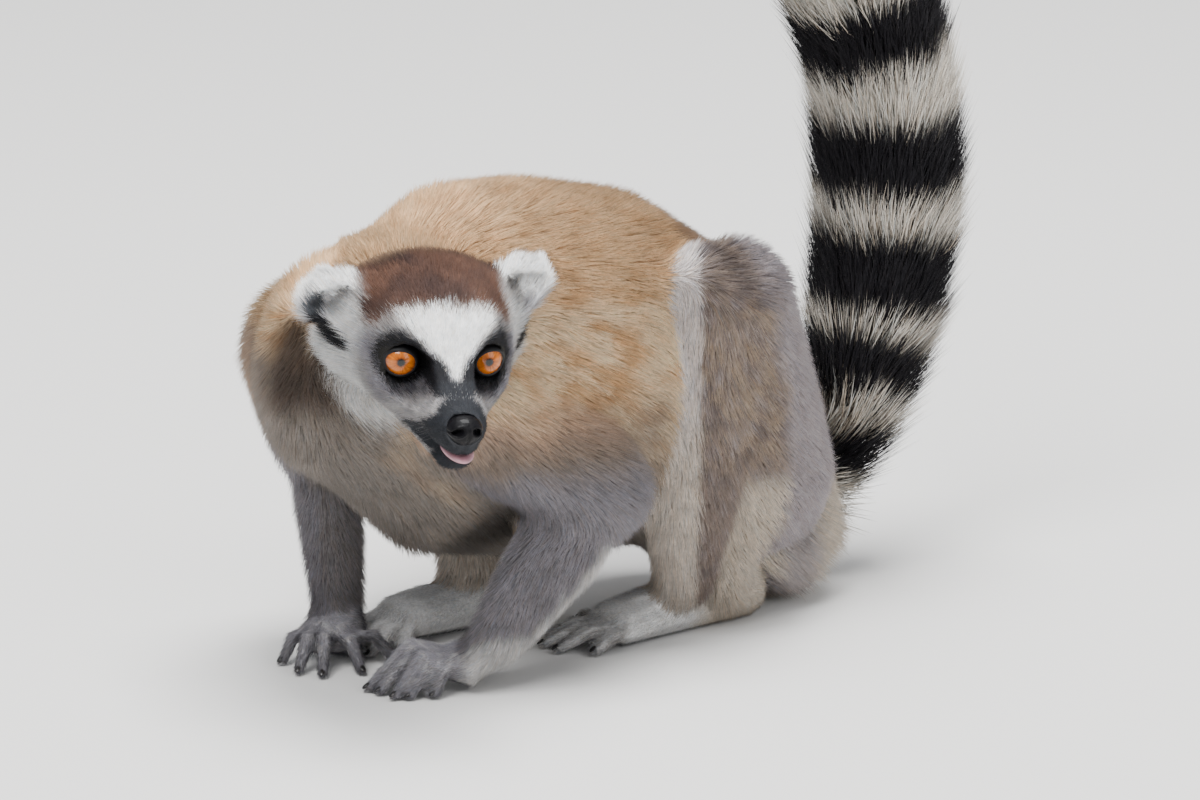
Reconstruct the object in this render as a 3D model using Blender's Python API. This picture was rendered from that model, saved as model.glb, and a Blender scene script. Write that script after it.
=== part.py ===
"""A ring-tailed lemur at life size, crouched on its hind feet with both hands on the ground.

The animal faces -Y, its left side is +X and the ground is Z = 0. Its midline is built on X = 0,
and the finished parts are moved together so that the origin is below the middle of their box.
Every solid reaches to the tips of the coat. Each sub-part is made of tubes with elliptical rings along a spine, joined
into one body, and parted from its neighbours by a thin gap. Places and half widths in the
tables below are in millimetres.
"""

import math
from dataclasses import dataclass, replace

import bmesh
import bpy
from mathutils import Matrix, Vector

MM = 0.001
PART_GAP = 0.32 * MM
WELD = 0.02 * MM
CAP_ANGLES = (math.radians(38), math.radians(68))
SHALLOW = 0.5
TANGENT_STEP = 0.05
SMOOTH_ANGLE = math.radians(50)

# Driving dimensions, in millimetres
SEAT_HEIGHT = 42.0
SPINE_HEIGHT = 125.0
BACK_HEIGHT = 209.0
TAIL_RADIUS = 36.0
TAIL_LENGTHS = 6
EYE_RADIUS = 7.8
EYE_SPREAD = 18.8
EYE_DROP = -2.0
EYE_DEPTH = -8.8
EYE_LENGTH = 0.6
EAR_ROOT = (-34.0, 30.0, 10.0)
EAR_HOLLOW = 6.5
EAR_LEAN = 0.25
FINGER_RADIUS = 3.6
FINGER_SPACING = 5.2
FINGER_ARCH = 0.3
TOE_RADIUS = 3.9
TOE_SPACING = 6.2
TOE_ARCH = 0.1
DIGITS = 5
HEAD_TURN = math.radians(69.0)
HEAD_PITCH = math.radians(12.0)
HEAD_ROLL = math.radians(4.3)

# Segments round each kind of tube
TRUNK_SEGMENTS = 16
HEAD_SEGMENTS = 16
LIMB_SEGMENTS = 11
DIGIT_SEGMENTS = 5
EYE_SEGMENTS = 10
EAR_SEGMENTS = 10
JAW_SEGMENTS = 10

LEFT = Vector((1, 0, 0))
FRONT = Vector((0, -1, 0))
UP = Vector((0, 0, 1))


def at(x, y, z):
    """A point given in millimetres."""
    return Vector((x, y, z)) * MM


@dataclass
class Ring:
    """One elliptical section of a tube. Pear widens its upper half and narrows its lower half."""

    centre: Vector
    wide: float
    deep: float
    pear: float = 0.0


@dataclass
class Tube:
    """A tube through rings, smooth along its length.

    Across is the direction that a ring's width is measured along. A cap is how far an end bulges,
    as a share of its radius, and 0 is a flat end. Facing, where given, is the way that every ring
    faces. Span is the stretch of the rings that is built, counted in rings.
    """

    rings: list
    across: Vector
    segments: int = LIMB_SEGMENTS
    steps: int = 1
    start_cap: float = 1.0
    end_cap: float = 1.0
    facing: Vector = None
    span: tuple = None


def ring(x, y, z, wide, deep, pear=0.0):
    """A ring with its centre and half widths in millimetres."""
    return Ring(at(x, y, z), wide * MM, deep * MM, pear)


def catmull(values, t):
    """The value at t, from 0 to len(values) - 1, on a Catmull-Rom curve."""
    i = min(int(t), len(values) - 2)
    f = t - i
    b = values[i]
    c = values[i + 1]
    a = values[i - 1] if i > 0 else b * 2 - c
    d = values[i + 2] if i + 2 < len(values) else c * 2 - b
    slope = (c - a) * f
    bend = (a * 2 - b * 5 + c * 4 - d) * f**2
    twist = (b * 3 - a - c * 3 + d) * f**3
    return (b * 2 + slope + bend + twist) / 2


def ring_at(rings, t):
    """The section at t, from 0 at the first ring, on a smooth curve through the rings."""
    return Ring(
        catmull([r.centre for r in rings], t),
        catmull([r.wide for r in rings], t),
        catmull([r.deep for r in rings], t),
        catmull([r.pear for r in rings], t),
    )


def refined(tube, grow):
    """The sections of the tube's span, grown all round, as (ring, direction)."""
    last = len(tube.rings) - 1
    start, end = tube.span or (0, last)
    count = round((end - start) * tube.steps)
    centres = [r.centre for r in tube.rings]
    found = []
    for i in range(count + 1):
        t = start + (end - start) * i / count
        section = ring_at(tube.rings, t)
        section.wide += grow
        section.deep += grow
        before = catmull(centres, max(t - TANGENT_STEP, 0))
        after = catmull(centres, min(t + TANGENT_STEP, last))
        found.append((section, (tube.facing or after - before).normalized()))
    return found


def cap(section, along, roundness, sign):
    """The shrinking rings that close an end, from the widest. A shallow end takes one."""
    reach = min(section.wide, section.deep) * roundness
    angles = CAP_ANGLES if roundness > SHALLOW else CAP_ANGLES[:1]
    made = []
    for angle in angles:
        shrink = math.cos(angle)
        centre = section.centre + along * (sign * reach * math.sin(angle))
        smaller = replace(section, centre=centre, wide=section.wide * shrink, deep=section.deep * shrink)
        made.append((smaller, along))
    return made


def capped(tube, grow):
    """The sections with each end closed by its cap, or moved out by the growth where it is flat."""
    sections = refined(tube, grow)
    first, first_along = sections[0]
    last, last_along = sections[-1]
    if tube.start_cap:
        head = list(reversed(cap(first, first_along, tube.start_cap, -1)))
    else:
        first.centre -= first_along * grow
        head = []
    if tube.end_cap:
        tail = cap(last, last_along, tube.end_cap, 1)
    else:
        last.centre += last_along * grow
        tail = []
    return head + sections + tail


def add_tube(bm, tube, grow=0.0):
    """Adds the closed tube to the bmesh, bridged from circle to circle."""
    loops = []
    sections = capped(tube, grow)
    for i, (r, along) in enumerate(sections):
        wide_axis = (tube.across - along * tube.across.dot(along)).normalized()
        deep_axis = along.cross(wide_axis)
        frame = Matrix((wide_axis * r.wide, deep_axis * r.deep, along)).transposed().to_4x4()
        frame.translation = r.centre
        is_end = i in (0, len(sections) - 1)
        made = bmesh.ops.create_circle(
            bm, cap_ends=is_end, radius=1, segments=tube.segments, matrix=frame
        )["verts"]
        for vert in made:
            offset = vert.co - r.centre
            height = offset.dot(deep_axis) / r.deep
            vert.co += wide_axis * (offset.dot(wide_axis) * r.pear * height)
        loops.append({edge for vert in made for edge in vert.link_edges})
    for near, far in zip(loops, loops[1:]):
        bmesh.ops.bridge_loops(bm, edges=list(near | far))
    bmesh.ops.recalc_face_normals(bm, faces=bm.faces)


def object_of(name, bm, collection):
    """A new object with the bmesh, in triangles so that its faces are flat. The bmesh is freed."""
    bmesh.ops.remove_doubles(bm, verts=bm.verts, dist=WELD)
    bmesh.ops.triangulate(bm, faces=bm.faces)
    mesh = bpy.data.meshes.new(name)
    bm.to_mesh(mesh)
    bm.free()
    obj = bpy.data.objects.new(name, mesh)
    collection.objects.link(obj)
    return obj


def tube_object(name, tube, collection, grow=0.0):
    """One object with the tube."""
    bm = bmesh.new()
    add_tube(bm, tube, grow)
    return object_of(name, bm, collection)


def apply_boolean(target, tool, operation):
    """Joins or cuts the target with the tool, exactly, and keeps the result as its mesh."""
    modifier = target.modifiers.new(operation, "BOOLEAN")
    modifier.operation = operation
    modifier.solver = "EXACT"
    modifier.object = tool
    graph = bpy.context.evaluated_depsgraph_get()
    result = bpy.data.meshes.new_from_object(target.evaluated_get(graph))
    target.modifiers.clear()
    before = target.data
    target.data = result
    bpy.data.meshes.remove(before)


def remove(obj):
    """Deletes the object and its mesh."""
    mesh = obj.data
    bpy.data.objects.remove(obj)
    bpy.data.meshes.remove(mesh)


def joined(name, tubes, collection, grow=0.0):
    """One object with the union of the tubes."""
    target = tube_object(name, tubes[0], collection, grow)
    for tube in tubes[1:]:
        tool = tube_object("tool", tube, collection, grow)
        apply_boolean(target, tool, "UNION")
        remove(tool)
    return target


def cut_below(obj, height):
    """Cuts the object off at a height and closes it with a level face."""
    bm = bmesh.new()
    bm.from_mesh(obj.data)
    cut = bmesh.ops.bisect_plane(
        bm,
        geom=bm.verts[:] + bm.edges[:] + bm.faces[:],
        dist=WELD,
        plane_co=UP * height,
        plane_no=-UP,
        clear_outer=True,
    )["geom_cut"]
    edges = [part for part in cut if isinstance(part, bmesh.types.BMEdge)]
    if edges:
        bmesh.ops.holes_fill(bm, edges=edges)
        bmesh.ops.recalc_face_normals(bm, faces=bm.faces)
    bm.to_mesh(obj.data)
    bm.free()


def keep_largest(obj):
    """Deletes every loose piece of the mesh but the largest."""
    bm = bmesh.new()
    bm.from_mesh(obj.data)
    left = set(bm.verts)
    pieces = []
    while left:
        stack = [left.pop()]
        piece = set(stack)
        while stack:
            for edge in stack.pop().link_edges:
                for vert in edge.verts:
                    if vert in left:
                        left.remove(vert)
                        piece.add(vert)
                        stack.append(vert)
        pieces.append(piece)
    pieces.sort(key=len)
    if len(pieces) > 1:
        spare = [vert for piece in pieces[:-1] for vert in piece]
        bmesh.ops.delete(bm, geom=spare, context="VERTS")
        bm.to_mesh(obj.data)
    bm.free()


# The trunk, neck and tail


def trunk_rings():
    """From the seat, along the arched spine, to the front of the chest."""
    return [
        ring(0, 88, SEAT_HEIGHT, 46, 44),
        ring(0, 66, 72, 56, 56, 0.1),
        ring(0, 36, 98, 62, 73, 0.2),
        ring(0, -4, 116, 65, 83, 0.25),
        ring(0, -44, SPINE_HEIGHT, 63, BACK_HEIGHT - SPINE_HEIGHT, 0.2),
        ring(0, -84, 130, 58, 81, 0.1),
        ring(0, -116, 137, 50, 58),
    ]


WAIST = 3  # the ring where the trunk meets the chest


def trunk():
    """The rear half of the body, with a flat face towards the chest."""
    return [Tube(trunk_rings(), LEFT, TRUNK_SEGMENTS, end_cap=0, span=(0, WAIST))]


def chest():
    """The front half of the body, with a flat face towards the trunk."""
    rings = trunk_rings()
    return [Tube(rings, LEFT, TRUNK_SEGMENTS, start_cap=0, span=(WAIST, len(rings) - 1))]


def neck():
    """The short thick neck, from inside the chest into the back of the head."""
    rings = [
        ring(-4, -92, 148, 44, 46),
        ring(12, -110, 156, 42, 42),
        ring(34, -118, 160, 41, 37),
    ]
    return [Tube(rings, at(0.6, 0.8, 0), start_cap=SHALLOW, end_cap=SHALLOW)]


TAIL_SPINE = [
    (0, 108, 44, 17),
    (0, 128, 42, 18),
    (0, 146, 64, 23),
    (0, 161, 108, 31),
    (0, 169, 160, 34.5),
    (0, 167, 212, 34.5),
    (0, 152, 264, 35),
    (0, 124, 318, TAIL_RADIUS),
    (0, 92, 370, TAIL_RADIUS),
    (0, 66, 424, 35),
    (0, 55, 478, 32),
    (0, 63, 528, 23),
]


def tail_lengths():
    """The tail's tubes in order, with flat faces where one length meets the next."""
    rings = [ring(x, y, z, r, r) for x, y, z, r in TAIL_SPINE]
    per_length = (len(rings) - 1) / TAIL_LENGTHS
    lengths = []
    for i in range(TAIL_LENGTHS):
        start_cap = SHALLOW if i == 0 else 0.0
        end_cap = 1.0 if i == TAIL_LENGTHS - 1 else 0.0
        span = (i * per_length, (i + 1) * per_length)
        lengths.append(Tube(rings, LEFT, LIMB_SEGMENTS, 1.5, start_cap, end_cap, span=span))
    return lengths


# The head, in its own frame: forward along the muzzle, left and up, from the point between the eyes

EYES_MIDDLE = at(83.4, -135.1, 158)


def head_frame():
    """The matrix from (left, back, up) in the head's own frame to the world."""
    turn = Matrix.Rotation(HEAD_TURN, 4, "Z")
    pitch = Matrix.Rotation(HEAD_PITCH, 4, "X")
    roll = Matrix.Rotation(HEAD_ROLL, 4, "Y")
    return Matrix.Translation(EYES_MIDDLE) @ turn @ pitch @ roll


HEAD = head_frame()
HEAD_LEFT = (HEAD.to_3x3() @ LEFT).normalized()
HEAD_FRONT = (HEAD.to_3x3() @ FRONT).normalized()
HEAD_UP = (HEAD.to_3x3() @ UP).normalized()


def in_head(forward, left, up):
    """The world point of a place in the head's own frame, given in millimetres."""
    return HEAD @ at(left, -forward, up)


def head_ring(forward, up, wide, deep, pear=0.0, left=0.0):
    """A ring placed in the head's own frame."""
    return Ring(in_head(forward, left, up), wide * MM, deep * MM, pear)


def head_tube(rings, segments=HEAD_SEGMENTS, start_cap=1.0, end_cap=1.0):
    """A tube whose rings all face the way that the head looks."""
    return Tube(rings, HEAD_LEFT, segments, 1, start_cap, end_cap, HEAD_FRONT)


def skull():
    """The head from its back, over the ruffs of the cheeks and the brow, to the end of the muzzle."""
    return head_tube(
        [
            head_ring(-56, 0, 36, 26),
            head_ring(-44, 0, 45, 32, -0.1),
            head_ring(-28, 2, 42, 33, -0.16),
            head_ring(-14, -1, 37, 30, -0.14),
            head_ring(-3, -4.5, 31, 24.5, -0.12),
            head_ring(5, -9.5, 22, 18.5, -0.1),
            head_ring(13, -13.5, 15.5, 14),
            head_ring(23, -16, 11.5, 11),
            head_ring(31, -17.5, 9.2, 8.8),
        ],
        start_cap=0.4,
        end_cap=0.6,
    )


def orbit(side):
    """The hollow that an eye looks out of."""
    rings = [
        head_ring(-4, EYE_DROP, 11.5, 10.5, 0, side * EYE_SPREAD),
        head_ring(8, EYE_DROP, 15, 14, 0, side * (EYE_SPREAD + 4)),
        head_ring(20, EYE_DROP, 18, 17, 0, side * (EYE_SPREAD + 8)),
    ]
    return head_tube(rings, LIMB_SEGMENTS, SHALLOW)


def eye(side):
    """An eyeball, as a very short tube with round caps."""
    places = (EYE_DEPTH, EYE_DEPTH + EYE_LENGTH)
    rings = [head_ring(x, EYE_DROP, EYE_RADIUS, EYE_RADIUS, 0, side * EYE_SPREAD) for x in places]
    return head_tube(rings, EYE_SEGMENTS)


def nose():
    """The bare pad at the end of the muzzle."""
    rings = [
        head_ring(31, -13, 7, 5),
        head_ring(34, -14, 7.2, 5.4),
    ]
    return head_tube(rings, LIMB_SEGMENTS, end_cap=0.7)


def jaw():
    """The lower jaw, a little open."""
    rings = [
        head_ring(-14, -28, 17, 8),
        head_ring(0, -30, 14, 6.5),
        head_ring(14, -32, 10.5, 5),
        head_ring(24, -32.5, 7.6, 4.2),
    ]
    return head_tube(rings, JAW_SEGMENTS, end_cap=0.8)


def tongue():
    """The flat tongue, whose tip lies between the lips."""
    rings = [
        head_ring(6, -27, 6.5, 1.8),
        head_ring(18, -27.6, 6.5, 1.8),
        head_ring(27, -28.4, 6.0, 1.7),
    ]
    return head_tube(rings, EYE_SEGMENTS, end_cap=2.0)


EAR_SIZES = ((13.5, 8.0), (13.5, 7.0), (8.5, 4.0))
EAR_HOLLOW_SHARES = (0.55, 0.72, 0.45)
EAR_TIPS = {"left": (-37, 51, 23), "right": (-33, 53, 10)}


def ear(side, tip_forward, tip_out, tip_up):
    """An ear leaf from the side of the head to its tip."""
    root = Vector((EAR_ROOT[0], side * EAR_ROOT[1], EAR_ROOT[2]))
    tip = Vector((tip_forward, side * tip_out, tip_up))
    places = (root, (root + tip) / 2 + UP * 2, tip)
    rings = [
        Ring(in_head(*place), wide * MM, deep * MM)
        for place, (wide, deep) in zip(places, EAR_SIZES)
    ]
    lean = (HEAD_UP - HEAD_FRONT * EAR_LEAN).normalized()
    return Tube(rings, lean, EAR_SEGMENTS, 2, SHALLOW, 0.9)


def ear_scoop(side, tip_forward, tip_out, tip_up):
    """The hollow of the ear's shell, open to the front."""
    outer = ear(side, tip_forward, tip_out, tip_up)
    shift = HEAD_FRONT * EAR_HOLLOW * MM
    rings = [
        replace(r, centre=r.centre + shift, wide=r.wide * share)
        for r, share in zip(outer.rings, EAR_HOLLOW_SHARES)
    ]
    return replace(outer, rings=rings)


# The limbs


@dataclass
class Arm:
    """The joints of an arm, with the way its hand points."""

    shoulder: Vector
    elbow: Vector
    wrist: Vector
    palm: Vector
    pointing: Vector
    fingertips: tuple
    forearm: list


@dataclass
class Leg:
    """The joints of a leg, with the sole from heel to ball."""

    hip: Vector
    knee: Vector
    shin: Vector
    ankle: Vector
    heel: Vector
    ball: Vector
    toe_tips: tuple


ARMS = {
    "left": Arm(
        at(31, -104, 134),
        at(60, -38, 84),
        at(46, -84, 21),
        at(39, -90, 12),
        Vector((-0.59, -0.81, 0)),
        ((18, -129), (25, -128), (34, -127), (38, -122), (43, -113)),
        [(0.0, 20, 20), (0.4, 20, 22), (0.75, 15, 19), (1.0, 12, 15)],
    ),
    "right": Arm(
        at(-38, -118, 140),
        at(-60, -95, 88),
        at(-40, -103, 22),
        at(-32, -110, 12),
        Vector((0.5, -0.86, 0)),
        ((-6, -97), (-4, -117), (-10, -133), (-20, -138), (-36, -135)),
        [(0.0, 19, 17), (0.4, 17, 17), (0.75, 14, 15), (1.0, 12, 14)],
    ),
}
LEGS = {
    "left": Leg(
        at(34, 70, 60),
        at(61, 34, 160),
        at(59, 20, 158),
        at(34, 28, 28),
        at(26, 67, 12),
        at(25, -4, 9),
        ((-6, 2), (4, -25), (14, -33), (24, -33), (36, -22)),
    ),
    "right": Leg(
        at(-34, 66, 60),
        at(-62, 12, 150),
        at(-60, -2, 148),
        at(-34, -38, 30),
        at(-30, -4, 12),
        at(-33, -76, 11),
        ((-14, -88), (-20, -101), (-28, -107), (-38, -105), (-46, -94)),
    ),
}

UPPER_ARM = [(0.0, 31, 33), (0.35, 29, 31), (0.7, 26, 28), (1.0, 24, 25)]
THIGH = [(0.0, 30, 38), (0.35, 28, 35), (0.7, 26, 30), (1.0, 24, 26)]
SHANK = [(0.0, 25, 24), (0.35, 25, 27), (0.7, 23, 27), (1.0, 15, 16)]
HEEL_COLUMN = [(0.0, 9, 9), (1.0, 11.5, 12)]
HEEL_COLUMN_TOP = at(2, -4, 26)


def between(start, end, sizes, across, start_cap=1.0):
    """A tube from start to end. Sizes holds (share of the way, half width, half depth)."""
    rings = [Ring(start.lerp(end, share), wide * MM, deep * MM) for share, wide, deep in sizes]
    return Tube(rings, across, start_cap=start_cap)


def digit(root, tip, radius, arch):
    """A finger or toe that rises to its knuckle and comes down to rest on its tip."""
    way = tip - root
    middle = root + way / 2 + UP * (way.length * arch)
    rings = [
        Ring(root, radius * 1.2, radius * 1.15),
        Ring(middle, radius * 1.1, radius * 1.1),
        Ring(tip, radius * 0.85, radius * 0.8),
    ]
    return Tube(rings, way.cross(UP), DIGIT_SEGMENTS, start_cap=SHALLOW, end_cap=SHALLOW)


def digits(middle, across, spacing, tips, radius, arch):
    """The digits, from knuckles in a row through the middle to their tips on the ground."""
    tubes = []
    for i, (x, y) in enumerate(tips):
        place = (DIGITS - 1) / 2 - i
        root = middle + across * (spacing * place * MM)
        tip = at(x, y, radius * 0.55)
        tubes.append(digit(root, tip, radius * MM, arch))
    return tubes


def hand(arm, side):
    """The palm, flat on the ground, and five digits that arch down to it."""
    pointing = arm.pointing.normalized()
    across = pointing.cross(UP) * side
    knuckles = arm.palm + pointing * 9 * MM
    rings = [
        Ring(arm.wrist, 12 * MM, 10 * MM),
        Ring(arm.palm, 15 * MM, 11 * MM),
        Ring(knuckles, 14 * MM, 8 * MM),
    ]
    palm = Tube(rings, across, start_cap=0.6, end_cap=0.6, facing=pointing)
    return [palm] + digits(knuckles, across, FINGER_SPACING, arm.fingertips, FINGER_RADIUS, FINGER_ARCH)


def foot(leg, side):
    """The sole from heel to ball, the column of fur over the heel, and five toes."""
    pointing = leg.ball - leg.heel
    pointing.z = 0
    pointing.normalize()
    across = pointing.cross(UP) * side
    instep = leg.heel.lerp(leg.ball, 0.45) + UP * 2 * MM
    rings = [
        Ring(leg.heel, 12 * MM, 13 * MM),
        Ring(instep, 13 * MM, 14 * MM),
        Ring(leg.ball, 16 * MM, 10 * MM),
    ]
    sole = Tube(rings, across, start_cap=0.9, end_cap=0.6, facing=pointing)
    column = between(leg.heel + HEEL_COLUMN_TOP, leg.heel, HEEL_COLUMN, across)
    knuckles = leg.ball - UP * MM
    return [sole, column] + digits(knuckles, across, TOE_SPACING, leg.toe_tips, TOE_RADIUS, TOE_ARCH)


# Assembly

BUFF = (0.58, 0.36, 0.19)
GREY_BROWN = (0.27, 0.22, 0.18)
GREY = (0.28, 0.25, 0.25)
WHITE = (0.80, 0.78, 0.76)
PALE = (0.62, 0.58, 0.54)
DARK = (0.05, 0.05, 0.05)
BLACK = (0.012, 0.011, 0.012)
AMBER = (0.62, 0.2, 0.03)
PINK = (0.5, 0.25, 0.29)
SIDES = {"left": 1, "right": -1}
COAT = 0.85
SKIN = 0.7
MOIST = 0.35
GLOSSY = 0.15


@dataclass
class Part:
    """A sub-part to build: its tubes, the tubes cut out of it, and its finish."""

    name: str
    tubes: list
    colour: tuple
    roughness: float = COAT
    holes: tuple = ()


def clear_scene():
    """Removes every object of the startup scene."""
    for obj in list(bpy.data.objects):
        bpy.data.objects.remove(obj)


def material(part):
    """The part's own material."""
    made = bpy.data.materials.new(part.name)
    made.use_nodes = True
    shader = made.node_tree.nodes["Principled BSDF"]
    shader.inputs["Base Color"].default_value = (*part.colour, 1)
    shader.inputs["Roughness"].default_value = part.roughness
    shader.inputs["Metallic"].default_value = 0
    return made


def head_parts():
    """The eyes, nose, tongue, head, jaw and ears."""
    listed = [Part(f"eye_{name}", [eye(side)], AMBER, GLOSSY) for name, side in SIDES.items()]
    orbits = [orbit(side) for side in SIDES.values()]
    listed.append(Part("nose", [nose()], BLACK, MOIST))
    listed.append(Part("tongue", [tongue()], PINK, MOIST))
    listed.append(Part("head", [skull()], WHITE, holes=orbits))
    listed.append(Part("jaw", [jaw()], DARK, SKIN))
    for name, side in SIDES.items():
        tips = EAR_TIPS[name]
        listed.append(Part(f"ear_{name}", [ear(side, *tips)], WHITE, holes=[ear_scoop(side, *tips)]))
    return listed


def limb_parts():
    """The hands and feet, then the lengths of the arms and legs."""
    listed = [Part(f"hand_{name}", hand(arm, SIDES[name]), GREY) for name, arm in ARMS.items()]
    listed += [Part(f"foot_{name}", foot(leg, SIDES[name]), PALE) for name, leg in LEGS.items()]
    for name, arm in ARMS.items():
        upper_arm = between(arm.shoulder, arm.elbow, UPPER_ARM, LEFT)
        forearm = between(arm.elbow, arm.wrist, arm.forearm, LEFT, SHALLOW)
        listed.append(Part(f"upper_arm_{name}", [upper_arm], GREY_BROWN))
        listed.append(Part(f"forearm_{name}", [forearm], GREY))
    for name, leg in LEGS.items():
        listed.append(Part(f"thigh_{name}", [between(leg.hip, leg.knee, THIGH, LEFT)], GREY_BROWN))
        listed.append(Part(f"shank_{name}", [between(leg.shin, leg.ankle, SHANK, LEFT)], PALE))
    return listed


def body_parts():
    """The neck, chest, trunk and tail."""
    listed = [Part("neck", neck(), GREY_BROWN), Part("chest", chest(), BUFF), Part("trunk", trunk(), BUFF)]
    for i, tube in enumerate(tail_lengths()):
        listed.append(Part(f"tail_{i + 1}", [tube], PALE if i % 2 else BLACK))
    return listed


def bounds(obj):
    """The low and high corners of the object's box."""
    points = [vert.co for vert in obj.data.vertices]
    low = [min(p[i] for p in points) for i in range(3)]
    high = [max(p[i] for p in points) for i in range(3)]
    return low, high


def near(a, b):
    """Whether the boxes of two objects meet."""
    (low_a, high_a), (low_b, high_b) = bounds(a), bounds(b)
    return all(low_a[i] <= high_b[i] and low_b[i] <= high_a[i] for i in range(3))


def centre_over_origin(objects):
    """Moves the meshes together so that the middle of their common box is over the origin."""
    boxes = [bounds(obj) for obj in objects]
    x, y = [
        (min(low[i] for low, _ in boxes) + max(high[i] for _, high in boxes)) / 2 for i in range(2)
    ]
    for obj in objects:
        obj.data.transform(Matrix.Translation((-x, -y, 0)))


def build(part, collection, cutters, earlier):
    """Builds the part clear of the earlier parts' room, and returns it."""
    obj = joined(part.name, part.tubes, collection)
    for hole in part.holes:
        tool = tube_object("hole", hole, cutters)
        apply_boolean(obj, tool, "DIFFERENCE")
        remove(tool)
    for tool in earlier:
        if near(obj, tool):
            apply_boolean(obj, tool, "DIFFERENCE")
    cut_below(obj, 0.0)
    keep_largest(obj)
    obj.data.materials.clear()
    obj.data.materials.append(material(part))
    obj.data.shade_smooth()
    obj.data.set_sharp_from_angle(angle=SMOOTH_ANGLE)
    return obj


def main():
    """Builds every part in order. An earlier part keeps its shape where two meet."""
    clear_scene()
    scene = bpy.context.scene.collection
    lemur = bpy.data.collections.new("ring_tailed_lemur")
    cutters = bpy.data.collections.new("cutters")
    cutters.hide_render = True
    scene.children.link(lemur)
    scene.children.link(cutters)
    root = bpy.data.objects.new("ring_tailed_lemur_root", None)
    lemur.objects.link(root)
    rooms = []
    built = []
    for part in head_parts() + limb_parts() + body_parts():
        obj = build(part, lemur, cutters, rooms)
        obj.parent = root
        built.append(obj)
        room = joined(f"{part.name}_room", part.tubes, cutters, PART_GAP)
        room.hide_render = True
        room.display_type = "WIRE"
        rooms.append(room)
    centre_over_origin(built)


main()
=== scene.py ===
"""A ring-tailed lemur, dressed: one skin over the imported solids, a coat of tufts, and the bare parts.

Lengths are millimetres, in the frame that the solids were drawn in: the animal faces -Y, its left
side is +X, its midline is X = 0 and the ground is Z = 0. The head has a frame of its own, (forward,
left, up) from the point between the eyes.
"""

import logging
import math
from dataclasses import dataclass, field
from enum import Enum

import bmesh
import bpy
import numpy as np
from mathutils import Matrix, Vector
from mathutils.bvhtree import BVHTree
from mathutils.kdtree import KDTree


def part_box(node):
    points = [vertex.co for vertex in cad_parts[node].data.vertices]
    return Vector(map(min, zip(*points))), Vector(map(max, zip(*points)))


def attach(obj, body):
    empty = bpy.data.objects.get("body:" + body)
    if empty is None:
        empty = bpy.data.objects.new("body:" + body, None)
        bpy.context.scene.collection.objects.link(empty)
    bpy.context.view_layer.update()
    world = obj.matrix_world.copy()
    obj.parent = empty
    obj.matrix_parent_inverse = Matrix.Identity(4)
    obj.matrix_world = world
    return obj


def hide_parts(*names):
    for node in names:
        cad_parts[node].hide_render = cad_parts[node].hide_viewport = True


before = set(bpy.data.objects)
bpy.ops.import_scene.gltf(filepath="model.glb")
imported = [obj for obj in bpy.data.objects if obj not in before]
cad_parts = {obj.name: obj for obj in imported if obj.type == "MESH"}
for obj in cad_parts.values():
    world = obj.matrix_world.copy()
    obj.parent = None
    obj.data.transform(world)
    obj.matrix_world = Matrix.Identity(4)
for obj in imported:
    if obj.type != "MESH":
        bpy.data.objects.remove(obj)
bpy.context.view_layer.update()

log = logging.getLogger("lemur")
MM = 0.001
Array = np.ndarray
Spot = tuple[float, float, float]


# Numbers, colours and noise


def linear(code: str) -> Array:
    """Turns a six-digit colour into linear red, green and blue."""
    value = np.array([int(code[i : i + 2], 16) for i in (0, 2, 4)]) / 255
    return np.where(value <= 0.04045, value / 12.92, ((value + 0.055) / 1.055) ** 2.4)


def ease(low: float, high: float, value: Array) -> Array:
    """Rises smoothly from 0 at low to 1 at high."""
    share = np.clip((value - low) / (high - low), 0, 1)
    return share * share * (3 - 2 * share)


def mix(first: Array, second: Array, share: Array) -> Array:
    """Mixes two colours, or two rows of them, by a share for each row."""
    return first + (second - first) * share[:, None]


def unit(rows: Array) -> Array:
    """Scales each row to length 1."""
    return rows / np.maximum(np.linalg.norm(rows, axis=1), 1e-9)[:, None]


def reach(points: Array, centre: Spot, radii: Spot = (1, 1, 1)) -> Array:
    """Gives each point's distance from a centre, in radii."""
    return np.linalg.norm((points - np.array(centre)) / np.array(radii), axis=1)


def lattice(cells: Array, seed: int) -> Array:
    """Gives a fixed number from 0 to 1 for every whole-numbered cell.

    Args:
        cells: Whole-numbered cells, one a row.
        seed: Picks the pattern.

    Returns:
        One number for each cell.
    """
    x, y, z = cells.T
    mixed = (x * 73856093) ^ (y * 19349663) ^ (z * 83492791) ^ (seed * 668265263)
    mixed = (mixed ^ (mixed >> 13)) * 1274126177
    return ((mixed ^ (mixed >> 16)) & 0xFFFF) / 65535.0


def noise(points: Array, size: float, seed: int) -> Array:
    """Gives smooth noise from -1 to 1.

    Args:
        points: Places, one a row.
        size: The size of a feature, in the points' unit.
        seed: Picks the pattern.

    Returns:
        One number for each point.
    """
    scaled = points / size
    base = np.floor(scaled).astype(np.int64)
    part = scaled - base
    part = part * part * (3 - 2 * part)
    total = np.zeros(len(points))
    for corner in range(8):
        step = np.array([corner & 1, corner >> 1 & 1, corner >> 2 & 1])
        weight = np.prod(np.where(step, part, 1 - part), axis=1)
        total += weight * lattice(base + step, seed)
    return total * 2 - 1


# The frames of the body and the head


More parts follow.
